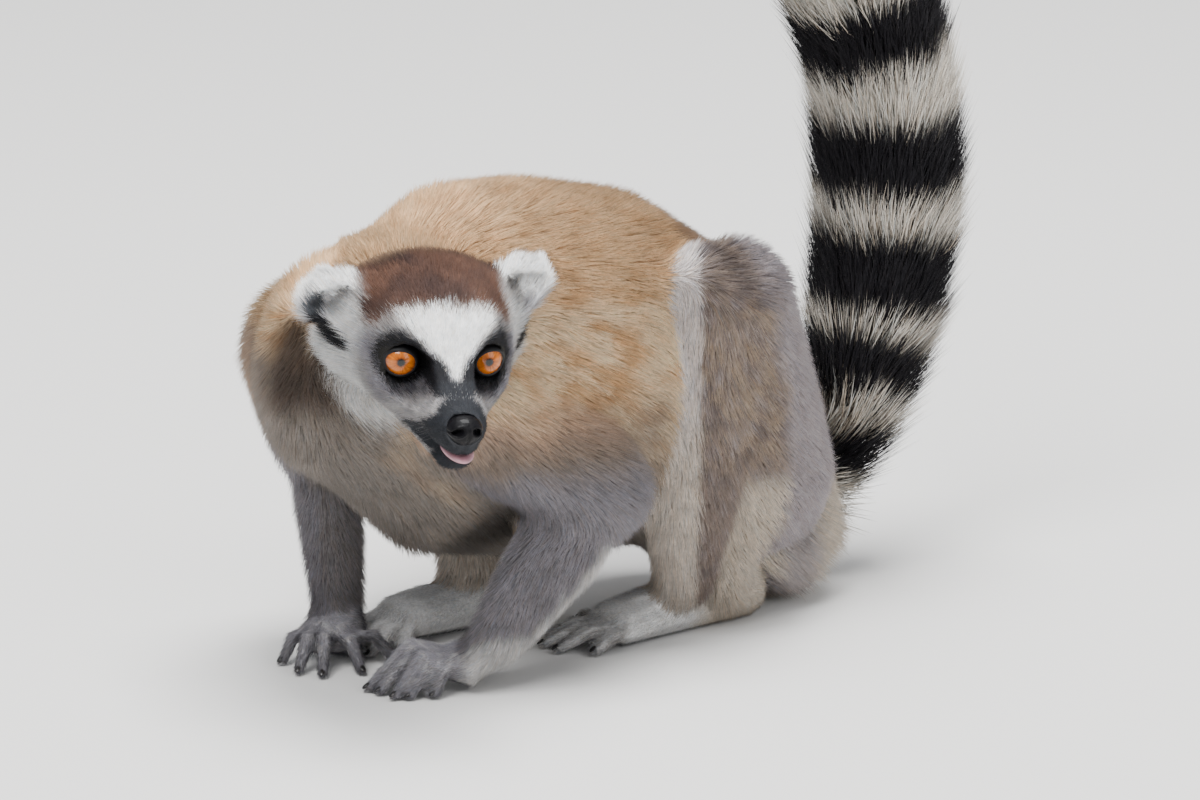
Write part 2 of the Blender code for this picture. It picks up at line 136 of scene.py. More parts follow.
@dataclass
class Places:
    """Turns places between the world, the frame that the solids were drawn in, and the head's.

    Eyes_middle is between the eyes in the drawn frame, turn, pitch and roll are the head's, and
    solid_eye and eye are the left eye's middle in the solids and here, in the head's frame.
    """

    eyes_middle: Spot = (83.4, -135.1, 158.0)
    turn: float = math.radians(69.0)
    pitch: float = math.radians(12.0)
    roll: float = math.radians(4.3)
    solid_eye: Spot = (-8.5, 18.8, -2.0)
    eye: Spot = (-8.6, 17.9, -1.2)
    axes: Array = field(init=False)
    shift: Array = field(init=False)

    def __post_init__(self) -> None:
        """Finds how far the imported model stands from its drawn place, by its eyes."""
        rotation = (
            Matrix.Rotation(self.turn, 3, "Z")
            @ Matrix.Rotation(self.pitch, 3, "X")
            @ Matrix.Rotation(self.roll, 3, "Y")
        )
        self.axes = np.array(rotation) @ np.array([[0, 1, 0], [-1, 0, 0], [0, 0, 1]])
        corners = [np.array(corner) for name in ("left", "right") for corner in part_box(f"eye_{name}")]
        drawn = self.from_head(np.array([[self.solid_eye[0], 0.0, self.solid_eye[2]]]))[0]
        self.shift = np.mean(corners, axis=0) / MM - drawn

    def from_head(self, rows: Array) -> Array:
        """Turns (forward, left, up) in the head into drawn places."""
        return rows @ self.axes.T + np.array(self.eyes_middle)

    def to_head(self, rows: Array) -> Array:
        """Turns drawn places into (forward, left, up) in the head."""
        return (rows - np.array(self.eyes_middle)) @ self.axes

    def to_world(self, rows: Array) -> Array:
        """Turns drawn places in millimetres into world places in metres."""
        return (rows + self.shift) * MM

    def from_world(self, rows: Array) -> Array:
        """Turns world places in metres into drawn places in millimetres."""
        return rows / MM - self.shift

    def in_world(self, place: Spot) -> Vector:
        """Turns one drawn place into a world vector."""
        return Vector(self.to_world(np.array([place]))[0])

    def head_matrix(self, place: Spot) -> Matrix:
        """Gives the world matrix, scaled to millimetres, of a frame at a place in the head.

        Args:
            place: The place, as (forward, left, up).

        Returns:
            The matrix.
        """
        matrix = Matrix((self.axes * MM).tolist()).to_4x4()
        matrix.translation = self.in_world(self.from_head(np.array([place]))[0])
        return matrix


# The coat's kinds and where each grows


class Tuft(Enum):
    """The shapes of tuft by their triangles: short and straight, or long and bent over."""

    STRAIGHT = 3
    BENT = 6


@dataclass(frozen=True)
class Fur:
    """How the coat grows on one part.

    Depth is from the tips to the skin. Length and width are a tuft's, lift is its angle from the
    skin in degrees and count is tufts in a square millimetre of skin. Gather is the share by
    which tips lean to the middle of their clump, whose size is given. Rough is how far tufts stray
    from the lie. The last is painted shade and light: how much darker the roots are, deep in the
    coat, and how much lighter the tips, at its outside.
    """

    depth: float
    length: float
    width: float
    lift: float
    count: float
    clump: float
    gather: float
    rough: float = 0.12
    tick: float = 0.1


def both(name: str) -> tuple[str, str]:
    """Names a part of the left and of the right side."""
    return f"{name}_left", f"{name}_right"


# The coat's kinds, each after the parts that it grows on
KINDS = (
    (("head",), Fur(2, 5, 0.34, 21, 5.1, 3, 0.14)),
    (("jaw",), Fur(0.7, 2.2, 0.32, 15, 5, 2, 0.1)),
    (both("ear"), Fur(1.1, 7.2, 0.36, 25, 5.5, 3, 0.26)),
    (("neck",), Fur(5, 11.5, 0.52, 27, 2.3, 5, 0.26)),
    (("chest", "trunk"), Fur(4.6, 9, 0.52, 29, 2.15, 4.5, 0.34, 0.18)),
    (both("upper_arm"), Fur(4.5, 10, 0.5, 26, 2.2, 4.5, 0.3, 0.16, 0.14)),
    (both("forearm"), Fur(2.8, 7.5, 0.46, 23, 2.4, 3.5, 0.26, 0.14, 0.2)),
    (both("hand"), Fur(0.8, 3.4, 0.36, 17, 3.4, 2, 0.14, 0.14, 0.2)),
    (both("thigh"), Fur(4, 8.5, 0.5, 29, 2.7, 3.8, 0.46, 0.3, 0.18)),
    (both("shank"), Fur(3, 8, 0.48, 24, 2.5, 4, 0.3, 0.16, 0.16)),
    (both("foot"), Fur(1.1, 3.4, 0.4, 16, 2.2, 2.5, 0.12, 0.12, 0.14)),
    (tuple(f"tail_{i}" for i in range(1, 7)), Fur(13, 32, 0.5, 25, 1.6, 5.5, 0.2, 0.22, 0.06)),
)
FURS = {name: fur for names, fur in KINDS for name in names}
NODES = tuple(FURS)


def trait(nodes: Array, name: str) -> Array:
    """Gives a number of the coat's kind for each part number."""
    return np.array([getattr(fur, name) for fur in FURS.values()])[nodes]


def on_parts(nodes: Array, *names: str) -> Array:
    """Tells which of the part numbers belong to the named parts."""
    return np.isin(nodes, [NODES.index(name) for name in names])


# The way that the hair lies on these parts, as a direction in the drawn frame
LIES = {
    "neck": (-0.75, 0.45, -0.45),
    "chest": (0.0, 0.85, -0.5),
    "trunk": (0.0, 0.8, -0.6),
    "upper_arm_left": (0.3, 0.6, -0.7),
    "upper_arm_right": (-0.2, 0.3, -0.95),
    "forearm_left": (-0.1, -0.5, -0.85),
    "forearm_right": (0.2, 0.05, -1.0),
    "thigh_left": (0.1, 0.55, -0.85),
    "thigh_right": (-0.1, 0.55, -0.85),
    "shank_left": (-0.1, 0.15, -1.0),
    "shank_right": (0.1, -0.1, -1.0),
}


@dataclass(frozen=True)
class Piece:
    """A coat piece: its name, the parts it grows on, the name of a material slot, which is not used, and its
    kind of tuft.
    """

    name: str
    nodes: tuple[str, ...]
    slot: str
    tuft: Tuft = Tuft.STRAIGHT


PIECES = (
    Piece("coat_head", ("head",), "white_coat"),
    Piece("coat_ears_and_jaw", (*both("ear"), "jaw"), "white_coat"),
    Piece("coat_chest", ("chest",), "buff_coat"),
    Piece("coat_neck", ("neck",), "grey_brown_coat"),
    Piece("coat_trunk", ("trunk",), "buff_coat"),
    Piece("coat_arm_left", ("upper_arm_left", "forearm_left"), "grey_coat"),
    Piece("coat_arm_right", ("upper_arm_right", "forearm_right"), "grey_coat"),
    Piece("coat_hands", both("hand"), "grey_coat"),
    Piece("coat_leg_left", ("thigh_left", "shank_left"), "grey_brown_coat"),
    Piece("coat_leg_right", ("thigh_right", "shank_right"), "grey_brown_coat"),
    Piece("coat_feet", both("foot"), "pale_coat"),
    Piece("coat_tail_low", ("tail_1", "tail_2"), "black_coat", Tuft.BENT),
    Piece("coat_tail_middle", ("tail_3", "tail_4"), "pale_coat", Tuft.BENT),
    Piece("coat_tail_high", ("tail_5", "tail_6"), "black_coat", Tuft.BENT),
)


@dataclass(frozen=True)
class Paw:
    """How the digits of a hand or foot lie on the ground.

    Knuckle is the middle of their roots, way the direction that it points in, side 1 on the left
    and -1 on the right, height that of the tips' middle, and spacing that of the roots.
    """

    knuckle: tuple[float, float]
    way: tuple[float, float]
    side: int
    tips: tuple[tuple[float, float], ...]
    height: float
    spacing: float = 5.2

    def roots(self) -> Array:
        """Gives each digit's root on the ground plane.

        Returns:
            The roots, one a row.
        """
        across = self.side * np.array([-self.way[1], self.way[0]]) * self.spacing
        steps = np.arange(len(self.tips)) - (len(self.tips) - 1) / 2
        return np.array(self.knuckle) + steps[:, None] * across

    def nearest(self, points: Array) -> tuple[Array, Array, Array]:
        """Finds the nearest digit's middle line.

        Args:
            points: Drawn places.

        Returns:
            The distance to it, how far along it the place is from 0 to 1, and its direction.
        """
        best = np.full(len(points), np.inf)
        along = np.zeros(len(points))
        heading = np.tile((*self.way, -0.1), (len(points), 1))
        for root, tip in zip(self.roots(), np.array(self.tips)):
            leg = tip - root
            share = (points[:, :2] - root) @ leg / (leg @ leg)
            gap = np.linalg.norm(points[:, :2] - root - np.clip(share, 0, 1)[:, None] * leg, axis=1)
            nearer = gap < best
            best = np.where(nearer, gap, best)
            along = np.where(nearer, share, along)
            heading[nearer & (share > -0.2)] = (*(leg / np.linalg.norm(leg)), -0.25)
        return best, along, heading


HAND_HEIGHT = 3.4
FOOT_HEIGHT = 3.8
PAWS = {
    "hand_left": Paw((33.7, -97.3), (-0.59, -0.81), 1,
                     ((18, -129), (25, -128), (34, -127), (38, -122), (43, -113)), HAND_HEIGHT),
    "hand_right": Paw((-27.5, -117.7), (0.5, -0.86), -1,
                      ((-6, -97), (-4, -117), (-10, -133), (-20, -138), (-36, -135)), HAND_HEIGHT),
    "foot_left": Paw((25.0, -4.0), (0.0, -1.0), 1,
                     ((-6, 2), (4, -25), (14, -33), (24, -33), (36, -22)), FOOT_HEIGHT),
    "foot_right": Paw((-33.0, -76.0), (0.0, -1.0), -1,
                      ((-14, -88), (-20, -101), (-28, -107), (-38, -105), (-46, -94)), FOOT_HEIGHT),
}

# The tail's middle line, as (y, z), and along it where each ring ends and where the tip begins
TAIL_SPINE = (
    (108, 44), (128, 42), (146, 64), (161, 108), (169, 160), (167, 212), (152, 264), (124, 318),
    (92, 370), (66, 424), (55, 478), (63, 528), (68, 560),
)
RING_ENDS = (
    36, 56, 68, 93, 104, 140, 158, 193, 220, 253, 279, 308, 331, 359, 381, 407, 429, 453, 473,
)
TAIL_TIP = (485, 522)


def tail_place(points: Array) -> tuple[Array, Array]:
    """Finds where along the tail each point is.

    Args:
        points: Drawn places.

    Returns:
        The distance along the tail's middle line, and its direction there.
    """
    spine = np.array([(0.0, y, z) for y, z in TAIL_SPINE])
    legs = np.diff(spine, axis=0)
    lengths = np.linalg.norm(legs, axis=1)
    starts = np.concatenate([[0], np.cumsum(lengths)[:-1]])
    best = np.full(len(points), np.inf)
    along = np.zeros(len(points))
    heading = np.zeros((len(points), 3))
    for start, leg, length, before in zip(spine, legs, lengths, starts):
        share = np.clip((points - start) @ leg / length**2, 0, 1)
        gap = np.linalg.norm(points - start - share[:, None] * leg, axis=1)
        nearer = gap < best
        best = np.where(nearer, gap, best)
        along = np.where(nearer, before + share * length, along)
        heading[nearer] = leg / length
    return along, heading


def tail_end(points: Array) -> Array:
    """Gives how near each point is to the tail's tip: 0 below it, 1 at the end."""
    return ease(*TAIL_TIP, tail_place(points)[0])


# The markings

# belly and flank are the coat's own greys darkened as painted shade; the chest, underside, low sides and
# inner limbs take them
PALETTE = {
    "buff": "D6AA7C", "buff_light": "F3DBB8", "buff_dark": "AE845F", "shoulder": "C2A188",
    "rump": "B8977F", "flank": "8A7C71", "belly": "888079", "neck_dark": "50453E",
    "cap": "63473A", "cap_dark": "43322D", "white": "F7F6F4", "cheek": "BAB6B3",
    "under_eye": "7C797F", "patch": "1F1F23", "muzzle": "2B2D32", "lid": "15130F",
    "ear_low": "ABA7AD", "ear_inside": "505358", "forearm": "89858A", "fringe": "D6D3D1",
    "hand": "A29FA5", "finger": "6A686E", "thigh": "8A7B72", "thigh_tan": "A5927F",
    "thigh_rim": "A69EA1", "knee": "665D5D", "strip": "E4DAD6", "heel": "CFC2B2",
    "foot": "EEECEA", "ring_pale": "BAB3A8", "ring_dark": "121014",
}
INK = {name: linear(code) for name, code in PALETTE.items()}
# Half the white brow's width by height, the cap's lower edge by distance from the middle, and how
# far forward the dark muzzle begins by depth below the eyes
BROW = ((-2.5, -1, 3.2, 5.3, 8.2, 10.2, 13.8, 16, 18, 22), (0, 1.5, 4, 5.5, 9, 11.5, 17, 21, 23, 25))
CAP_EDGE = ((0, 8, 13, 18.5, 23.6, 28.4, 32, 38), (22.2, 22, 21.4, 19.4, 15.5, 10.8, 8, 5))
BRIDGE = ((3, 6, 11, 15, 18, 20.8, 22.6, 26), (14, 21, 23.2, 19.6, 15.5, 11, 5.5, -4))
# The front edge of the thigh's grey rear, by height
RIM = ((65, 115, 137, 174), (60, 52, 42, 36))


def halfway(first: str, second: str) -> Array:
    """Gives the colour between two of the palette's."""
    return (INK[first] + INK[second]) / 2


@dataclass
class Painter:
    """Colours places of one part, by the same rules for the skin and the coat.

    Points are drawn places and normals the skin's there. Each method that is named for a part
    gives its colours, one a row.
    """

    places: Places
    name: str
    points: Array
    normals: Array
    sign: int = field(init=False)
    left: bool = field(init=False)

    def __post_init__(self) -> None:
        """Finds the side that the part is on: the sign is 1 on the left and -1 on the right."""
        self.sign = -1 if self.name.endswith("right") else 1
        self.left = self.sign > 0

    def grain(self, size: float, seed: int, stretch: Spot = (1, 1, 1)) -> Array:
        """Gives noise over the places, with features shortened along the axes by the stretch."""
        return noise(self.points * np.array(stretch), size, seed)

    @staticmethod
    def over(rows: Array, *layers: tuple[str | Array, Array]) -> Array:
        """Lays colours over others.

        Args:
            rows: The colours below.
            layers: Each a colour or its name, and the share by which it covers each row.

        Returns:
            The new colours.
        """
        for colour, share in layers:
            rows = mix(rows, INK[colour] if isinstance(colour, str) else colour, share)
        return rows

    def head(self) -> Array:
        """Paints the cheeks, the white brow, the cap, the eye patches, the muzzle and the nape.

        Returns:
            Linear colours, one a row.
        """
        wobble = self.grain(5, 3) * 0.9
        head = self.places.to_head(self.points)
        forward, left, up = head.T
        side = np.abs(left)
        streak = noise(head * np.array([0.4, 1, 0.5]), 1.6, 22)
        pale = ease(-1, -24, forward) * ease(2, -12, up)
        pale = pale + ease(-6, -18, up - 0.8 * (forward - 4)) * 0.6
        brow = ease(1.6, -1.0, side - np.interp(up, *BROW) + 1.2 * streak) * ease(-3, -1, up)
        cap = ease(-1.6, 1.6, up - np.interp(side, *CAP_EDGE) + wobble + 1.2 * streak) * ease(0, -4, forward)
        cap_side = np.where(left > 0, 28.5, 31) + ease(-34, -44, forward) * 6 + ease(20, 14, up) * 2
        cap = cap * ease(2.6, -2.6, side - cap_side + wobble + 1.2 * streak)
        shade = ease(-0.4, 0.9, self.grain(9, 5) + ease(18, 30, up) * 0.3)
        bridge = np.interp(-up, *BRIDGE) + 1.5 * ease(3, 6, side) * ease(-2, 2, up)
        nape = ease(-38, -58, forward + 5 * wobble)
        return self.over(
            mix(INK["under_eye"], INK["cheek"], np.clip(pale, 0, 1) + 0.25 * streak),
            ("cheek", ease(4, 12, up + 2 * streak) * 0.8),
            ("white", ease(-13, -27, forward + 2 * streak) * ease(22, 10, up) * 0.85),
            ("white", brow),
            (mix(INK["cap"], INK["cap_dark"], shade), cap),
            ("patch", self.eye_patch(head, wobble, streak) * ease(-26, -16, forward)),
            ("muzzle", ease(-1.6, 1.6, forward - bridge + wobble)),
            ("patch", self.ear_tuft(side, up + wobble) * ease(-10, -16, forward)),
            (halfway("flank", "buff"), nape * ease(-20, 5, up)),
        )

    @staticmethod
    def eye_patch(head: Array, wobble: Array, streak: Array) -> Array:
        """Gives how far a place lies in the dark patch of an eye, which runs down to the muzzle.

        Args:
            head: Places in the head.
            wobble: How the patch's edge strays.
            streak: How single hairs stray.

        Returns:
            A share for each place.
        """
        side, up = np.abs(head[:, 1]), head[:, 2]
        patch = np.hypot((side - 19.6) / 9.9, (up - 0.8) / np.where(up > 1, 13.0, 13.4))
        tear = np.where(head[:, 0] < 19, np.hypot((side - 9.6) / 7.2, (up + 0.5) / 6.8), 9)
        return ease(1.26, 0.8, np.minimum(patch, tear) + wobble * 0.05 + 0.1 * streak)

    @staticmethod
    def ear_tuft(side: Array, up: Array) -> Array:
        """Gives how far a place lies in the black tuft below the ear.

        Args:
            side: How far each place is from the head's middle.
            up: How high it is.

        Returns:
            A share for each place.
        """
        root, way = (50, 5.5), (-11.5, -10)
        share = np.clip(((side - root[0]) * way[0] + (up - root[1]) * way[1]) / 232, 0, 1)
        gap = np.hypot(side - root[0] - way[0] * share, up - root[1] - way[1] * share)
        return ease(5.2 - 1.6 * share, 3.2 - 1.2 * share, gap)

    def jaw(self) -> Array:
        """Paints the jaw dark at the lips and chin, and pale below.

        Returns:
            Linear colours, one a row.
        """
        ragged = self.places.to_head(self.points) + self.grain(2, 30)[:, None] * 0.5
        forward, _, up = ragged.T
        dark = np.maximum(ease(15, 20, forward), ease(-30.4, -29.0, up + 0.04 * forward))
        return mix(INK["cheek"] * 0.8, INK["muzzle"], dark)

    def ear(self) -> Array:
        """Paints the ear white, with a dark hollow and a black tuft below it.

        Returns:
            Linear colours, one a row.
        """
        head = self.places.to_head(self.points)
        facing = (self.normals @ self.places.axes)[:, 0]
        side, up = np.abs(head[:, 1]), head[:, 2]
        streak = self.grain(2.2, 19)
        low = ease(20, 14, up + 2 * streak) * (0.85 if self.left else 0.6) * ease(-0.5, 0.3, facing)
        hollow = np.hypot((side - 51) / 5.5, (up - 12.5) / 7.5) + 0.12 * streak
        hollow = ease(1.1, 0.7, hollow) * ease(0, 0.4, facing)
        return self.over(
            INK["white"],
            ("ear_low", low * (0.8 + 0.2 * streak)),
            ("ear_inside", hollow * (0.1 if self.left else 0.95)),
            ("patch", self.ear_tuft(side, up + 0.8 * streak) * ease(-0.7, -0.2, facing)),
        )

    def back(self) -> Array:
        """Gives the buff of the back, in soft waves of light and dark, and paler lower down as painted light
        on the flank.

        Returns:
            Linear colours, one a row.
        """
        wide = self.grain(30, 7)
        fine = self.grain(4.5, 8, (1.0, 0.6, 1.0))
        fleck = self.grain(4.5, 6, (1.0, 0.7, 1.5))
        # painted light: the buff is mixed paler below the back's top, where the flank faces the light
        light = 0.2 + 0.6 * ease(180, 150, self.points[:, 2] + 6 * wide)
        return self.over(
            INK["buff"] * (1 + 0.05 * wide + 0.07 * fine)[:, None],
            ("buff_light", light * ease(-0.9, 0.5, 0.4 * wide + fine)),
            ("buff_dark", ease(0.1, 0.8, fleck - 0.3 * fine) * 0.4),
        )

    def chest(self) -> Array:
        """Paints the buff back, the dark side of the neck and the chest and belly, pale greys darkened as
        painted shade.

        Returns:
            Linear colours, one a row.
        """
        x, y, z = self.points.T
        wide, fine = self.grain(22, 7), self.grain(7, 8)
        low = ease(132, 98, z + 6 * wide) * ease(20, 46, np.abs(x))
        near = ease(-122, -136, y + 3 * fine)
        cheek = x - 20 - 0.5 * (152 - z) + 2.5 * fine
        under = near * ease(136, 118, z + 5 * wide)
        below = ease(-0.15, -0.62, self.normals[:, 2] + 0.1 * fine)
        dark = near * ease(-14, 4, x + 3 * fine) * ease(4, -3, cheek)
        dark = dark * ease(120, 136, z + 4 * wide) * ease(170, 158, z + 3 * fine)
        return self.over(
            self.back(),
            # painted shade: the low sides, the front of the chest and the faces turned down take the flank
            # and belly greys, darkened as shade
            ("flank", low * 0.8),
            (halfway("flank", "belly"), near * ease(160, 140, z + 5 * fine) * 0.95),
            ("belly", np.maximum(under * 0.85, below)),
            (halfway("cheek", "white"), near * ease(-3, 4, cheek) * ease(112, 128, z) * ease(166, 156, z)),
            ("neck_dark", dark * 0.92),
        )

    def neck(self) -> Array:
        """Paints the neck as the chest is painted."""
        return self.chest()

    def trunk(self) -> Array:
        """Paints the buff back over a pinkish rump, a pale belly darkened as painted shade and a cream seat.

        Returns:
            Linear colours, one a row.
        """
        x, y, z = self.points.T
        wide, fine = self.grain(22, 7), self.grain(7, 8)
        low = ease(118, 84, z + 6 * wide) * ease(20, 46, np.abs(x))
        seat = ease(70, 50, z + 3 * fine)
        rim = ease(76, 84, y + 2 * fine) * ease(104, 96, y + 2 * fine)
        return self.over(
            self.back(),
            ("rump", ease(4, 44, y + 5 * wide) * 0.8),
            # painted shade: the low sides and the faces turned down take the flank and belly greys, darkened
            # as shade
            ("flank", low * 0.8),
            ("belly", ease(-0.2, -0.62, self.normals[:, 2] + 0.08 * fine)),
            ("heel", seat * ease(40, 50, y)),
            ("thigh_rim", seat * rim * ease(10, 24, np.abs(x)) * 0.8),
        )

    def upper(self) -> Array:
        """Paints the upper arm: tan at the shoulder, grey-brown below and pale inside.

        Returns:
            Linear colours, one a row.
        """
        height = self.points[:, 2]
        wide, fine = self.grain(16, 9), self.grain(5, 13)
        tan = ease(98, 124, height + 5 * wide + 2 * fine)
        if self.left:
            top = ease(112, 132, height + 5 * wide)
        else:
            top = ease(140, 160, height + 6 * wide) * 0.9
        rows = self.over(
            mix(INK["flank"], INK["forearm"], ease(104, 84, height + 5 * wide)),
            ("shoulder", tan * (0.9 if self.left else 0.4)),
            (self.back(), top),
        )
        # the inside takes the belly grey, which is darkened as painted shade
        inside = ease(0.25, 0.8, -self.sign * self.normals[:, 0] - 0.3 * self.normals[:, 2])
        return self.over(rows * (1 + 0.07 * fine)[:, None], ("belly", inside * 0.85))

    def forearm(self) -> Array:
        """Paints the forearm grey, with a white fringe along its hind edge; the right one is darkened as
        painted shade.

        Returns:
            Linear colours, one a row.
        """
        fine = self.grain(4, 10)
        # painted shade: the right forearm is darkened, and below, the inside takes the belly grey, which is
        # darkened as shade too
        tone = INK["forearm"] * (1 + 0.12 * fine)[:, None] * (1 if self.left else 0.84)
        inside = ease(0.3, 0.8, -self.sign * self.normals[:, 0])
        return self.over(tone, ("fringe", self.fringe(fine)), ("belly", inside * 0.4))

    def fringe(self, fine: Array) -> Array:
        """Gives how far a place lies in the white fringe of the forearm's hind edge.

        Args:
            fine: How the fringe's edge strays.

        Returns:
            A share for each place.
        """
        x, y, z = self.points.T
        back = ease(0.62, 0.95, self.normals @ np.array([0.62 * self.sign, 0.7, -0.35]) + 0.15 * fine)
        share = back * ease(92, 40, z) * (1 if self.left else 0.6)
        if self.left:
            wrist = np.hypot((x - 53 - 0.35 * (y + 92)) / 1.1, z - 10)
            low = ease(17, 9, wrist + 2 * fine) * ease(-104, -98, y) * ease(-62, -76, y)
            share = np.maximum(share, low * ease(-0.4, 0.3, self.normals[:, 0] - 0.5 * self.normals[:, 2]))
        return share

    def hand(self) -> Array:
        """Paints the hand grey with a white fringe and dark palms; the right hand and the gaps between the
        fingers are darkened as painted shade.

        Returns:
            Linear colours, one a row.
        """
        paw = PAWS[self.name]
        gap, along, _ = paw.nearest(self.points)
        fine = self.grain(3, 11)
        behind = (np.array(paw.knuckle) - self.points[:, :2]) @ np.array(paw.way)
        rows = self.over(
            mix(INK["hand"], INK["fringe"], ease(-0.2, 0.7, fine) * 0.5),
            (INK["forearm"] * (1 + 0.12 * fine)[:, None], ease(3, 20, behind + 2 * fine)),
            ("finger", ease(0.6, 1.1, along + 0.1 * fine) * 0.45),
            # painted shade between the fingers
            ("patch", ease(1.9, 3.8, gap) * ease(0.0, 0.4, along) * 0.7),
        )
        # painted shade: the right hand is darkened
        return self.over(
            rows * (1 if self.left else 0.78),
            ("fringe", self.fringe(fine) * ease(0.1, -0.2, along)),
            ("finger", ease(-0.8, -0.97, self.normals[:, 2])),
        )

    def thigh(self) -> Array:
        """Paints the thigh: mottled brown, with a lavender rear and a cream foot of the rear.

        Returns:
            Linear colours, one a row.
        """
        x, y, z = self.points.T
        curl = self.grain(4.5, 12)
        fine = self.grain(2.4, 13, (1, 0.7, 1))
        tan = ease(-0.7, 0.7, curl + 0.8 * fine) * ease(66, 98, z) * (0.35 + 0.65 * ease(164, 144, z))
        edge = np.interp(z, *RIM) + 4 * self.grain(16, 14) + 2 * fine
        top = np.hypot(np.hypot(self.sign * x - 60, y - 18), z - 180) + 4 * fine
        column = ease(35, 42, y + 2 * fine) * ease(66, 58, y + 2 * fine) * ease(80, 64, z + 3 * fine)
        return self.over(
            mix(INK["thigh"], INK["thigh_tan"], tan),
            ("knee", ease(-0.2, 0.8, -0.7 * curl - fine) * 0.6),
            ("thigh_rim", ease(0.1, 0.9, fine - 0.5 * curl) * 0.5),
            (INK["thigh_rim"] * (1 + 0.08 * fine)[:, None], ease(edge - 7, edge + 7, y) * 0.92),
            (INK["knee"] * 0.8, ease(14, 5, top) * 0.8),
            ("heel", column * 0.9),
            # the inside takes the belly grey, which is darkened as painted shade
            ("belly", ease(0.4, 0.85, -self.sign * self.normals[:, 0]) * 0.7),
        )

    def shank(self) -> Array:
        """Paints the shank as the thigh, with a pale strip down its front.

        Returns:
            Linear colours, one a row.
        """
        x, y, z = self.points.T
        fine = self.grain(4, 14)
        front = 10.0 if self.left else -12 - 0.32 * (148 - z)
        strip = -0.6 * (np.abs(x) - 66) - 0.8 * (y - front)
        pale = mix(INK["strip"], INK["heel"], ease(128, 80, z) * 0.75) * (1 + 0.08 * fine)[:, None]
        return self.over(self.thigh(), (pale, ease(-3.5, 2.0, strip + 1.8 * fine) * 0.95))

    def foot(self) -> Array:
        """Paints the foot whitish with a cream heel, painted shade between the toes, and dark soles.

        Returns:
            Linear colours, one a row.
        """
        heel = ease(*((26, 46) if self.left else (-46, -26)), self.points[:, 1])
        gap, along, _ = PAWS[self.name].nearest(self.points)
        return self.over(
            mix(INK["foot"], INK["heel"], heel) * (1 + 0.1 * self.grain(4, 15))[:, None],
            ("finger", ease(0.7, 1.1, along) * 0.4),
            # painted shade between the toes
            ("neck_dark", ease(2.1, 4.2, gap) * ease(0.1, 0.45, along) * 0.6),
            ("finger", ease(-0.8, -0.97, self.normals[:, 2])),
        )

    def tail(self) -> Array:
        """Paints the tail's rings by their place along it.

        Returns:
            Linear colours, one a row.
        """
        along = tail_place(self.points)[0] + 3.2 * self.grain(10, 16) + 1.5 * self.grain(3, 17)
        pale = np.ones(len(self.points))
        for number, end in enumerate(RING_ENDS):
            pale = pale - (-1) ** number * ease(end - 2.5, end + 2.5, along)
        tone = INK["ring_pale"] * (1 + 0.06 * self.grain(7, 18))[:, None]
        return mix(tone, INK["ring_dark"], 1 - np.clip(pale, 0, 1))


def colours(places: Places, points: Array, normals: Array, nodes: Array) -> Array:
    """Gives the coat's colour at each point.

    Args:
        places: The frames.
        points: Drawn places.
        normals: The skin's normals there.
        nodes: The number of the part that each point belongs to.

    Returns:
        Linear colours, one a row.
    """
    rows = np.zeros((len(points), 3))
    for number, name in enumerate(NODES):
        chosen = nodes == number
        if chosen.any():
            painter = Painter(places, name, points[chosen], normals[chosen])
            rows[chosen] = getattr(painter, name.split("_")[0])()
    return rows


def paint(mesh: bpy.types.Mesh, rows: Array) -> None:
    """Stores a colour for each point of a mesh."""
    layer = mesh.attributes.new("coat", "FLOAT_COLOR", "POINT")
    layer.data.foreach_set("color", np.insert(np.clip(rows, 0, 1), 3, 1, axis=1).astype(np.float32).ravel())


# The skin


def added(name: str, data: bpy.types.ID | None) -> bpy.types.Object:
    """Adds an object with this data to the scene.

    Args:
        name: The object's name.
        data: Its mesh, light or camera.

    Returns:
        The object.
    """
    obj = bpy.data.objects.new(name, data)
    bpy.context.scene.collection.objects.link(obj)
    return obj


def evaluated(obj: bpy.types.Object) -> bpy.types.Mesh:
    """Gives a new mesh of an object with its modifiers applied."""
    graph = bpy.context.evaluated_depsgraph_get()
    return bpy.data.meshes.new_from_object(obj.evaluated_get(graph))


def rows_of(items: bpy.types.bpy_prop_collection, name: str, width: int, kind: type = int) -> Array:
    """Reads one property of every item, as rows of a width.

    Args:
        items: The items.
        name: The property.
        width: Numbers in one item's property.
        kind: Their type.

    Returns:
        One row for each item.
    """
    values = np.empty(len(items) * width, kind)
    items.foreach_get(name, values)
    return values.reshape(-1, width)


@dataclass
class Surface:
    """A closed surface as arrays: points in drawn millimetres, edges and triangles."""

    points: Array
    edges: Array
    faces: Array

    @classmethod
    def of(cls, mesh: bpy.types.Mesh, places: Places) -> "Surface":
        """Reads a mesh in world metres.

        Args:
            mesh: The mesh.
            places: Turns its points into drawn places.

        Returns:
            The surface.
        """
        mesh.calc_loop_triangles()
        points = places.from_world(rows_of(mesh.vertices, "co", 3, float))
        return cls(points, rows_of(mesh.edges, "vertices", 2), rows_of(mesh.loop_triangles, "vertices", 3))

    def normals(self) -> Array:
        """Gives each point's outward normal.

        Returns:
            Directions in the drawn frame, one a row.
        """
        first, second, third = (self.points[corner] for corner in self.faces.T)
        cross = np.cross(second - first, third - first)
        total = np.zeros_like(self.points)
        for axis in range(3):
            for corner in self.faces.T:
                total[:, axis] += np.bincount(corner, weights=cross[:, axis], minlength=len(total))
        return unit(total)

    def spread(self, values: Array, rounds: int, share: float | Array = 1.0) -> Array:
        """Averages values with their neighbours'.

        Args:
            values: One row for each point.
            rounds: How many times.
            share: How far each row moves to the average of its neighbours.

        Returns:
            The new values.
        """
        first, second = self.edges.T
        size = len(self.points)
        degree = np.bincount(first, minlength=size) + np.bincount(second, minlength=size)
        for _ in range(rounds):
            total = np.empty_like(values)
            for axis, column in enumerate(values.T):
                total[:, axis] = np.bincount(first, weights=column[second], minlength=size)
                total[:, axis] += np.bincount(second, weights=column[first], minlength=size)
            values = values + share * (total / degree[:, None] - values)
        return values


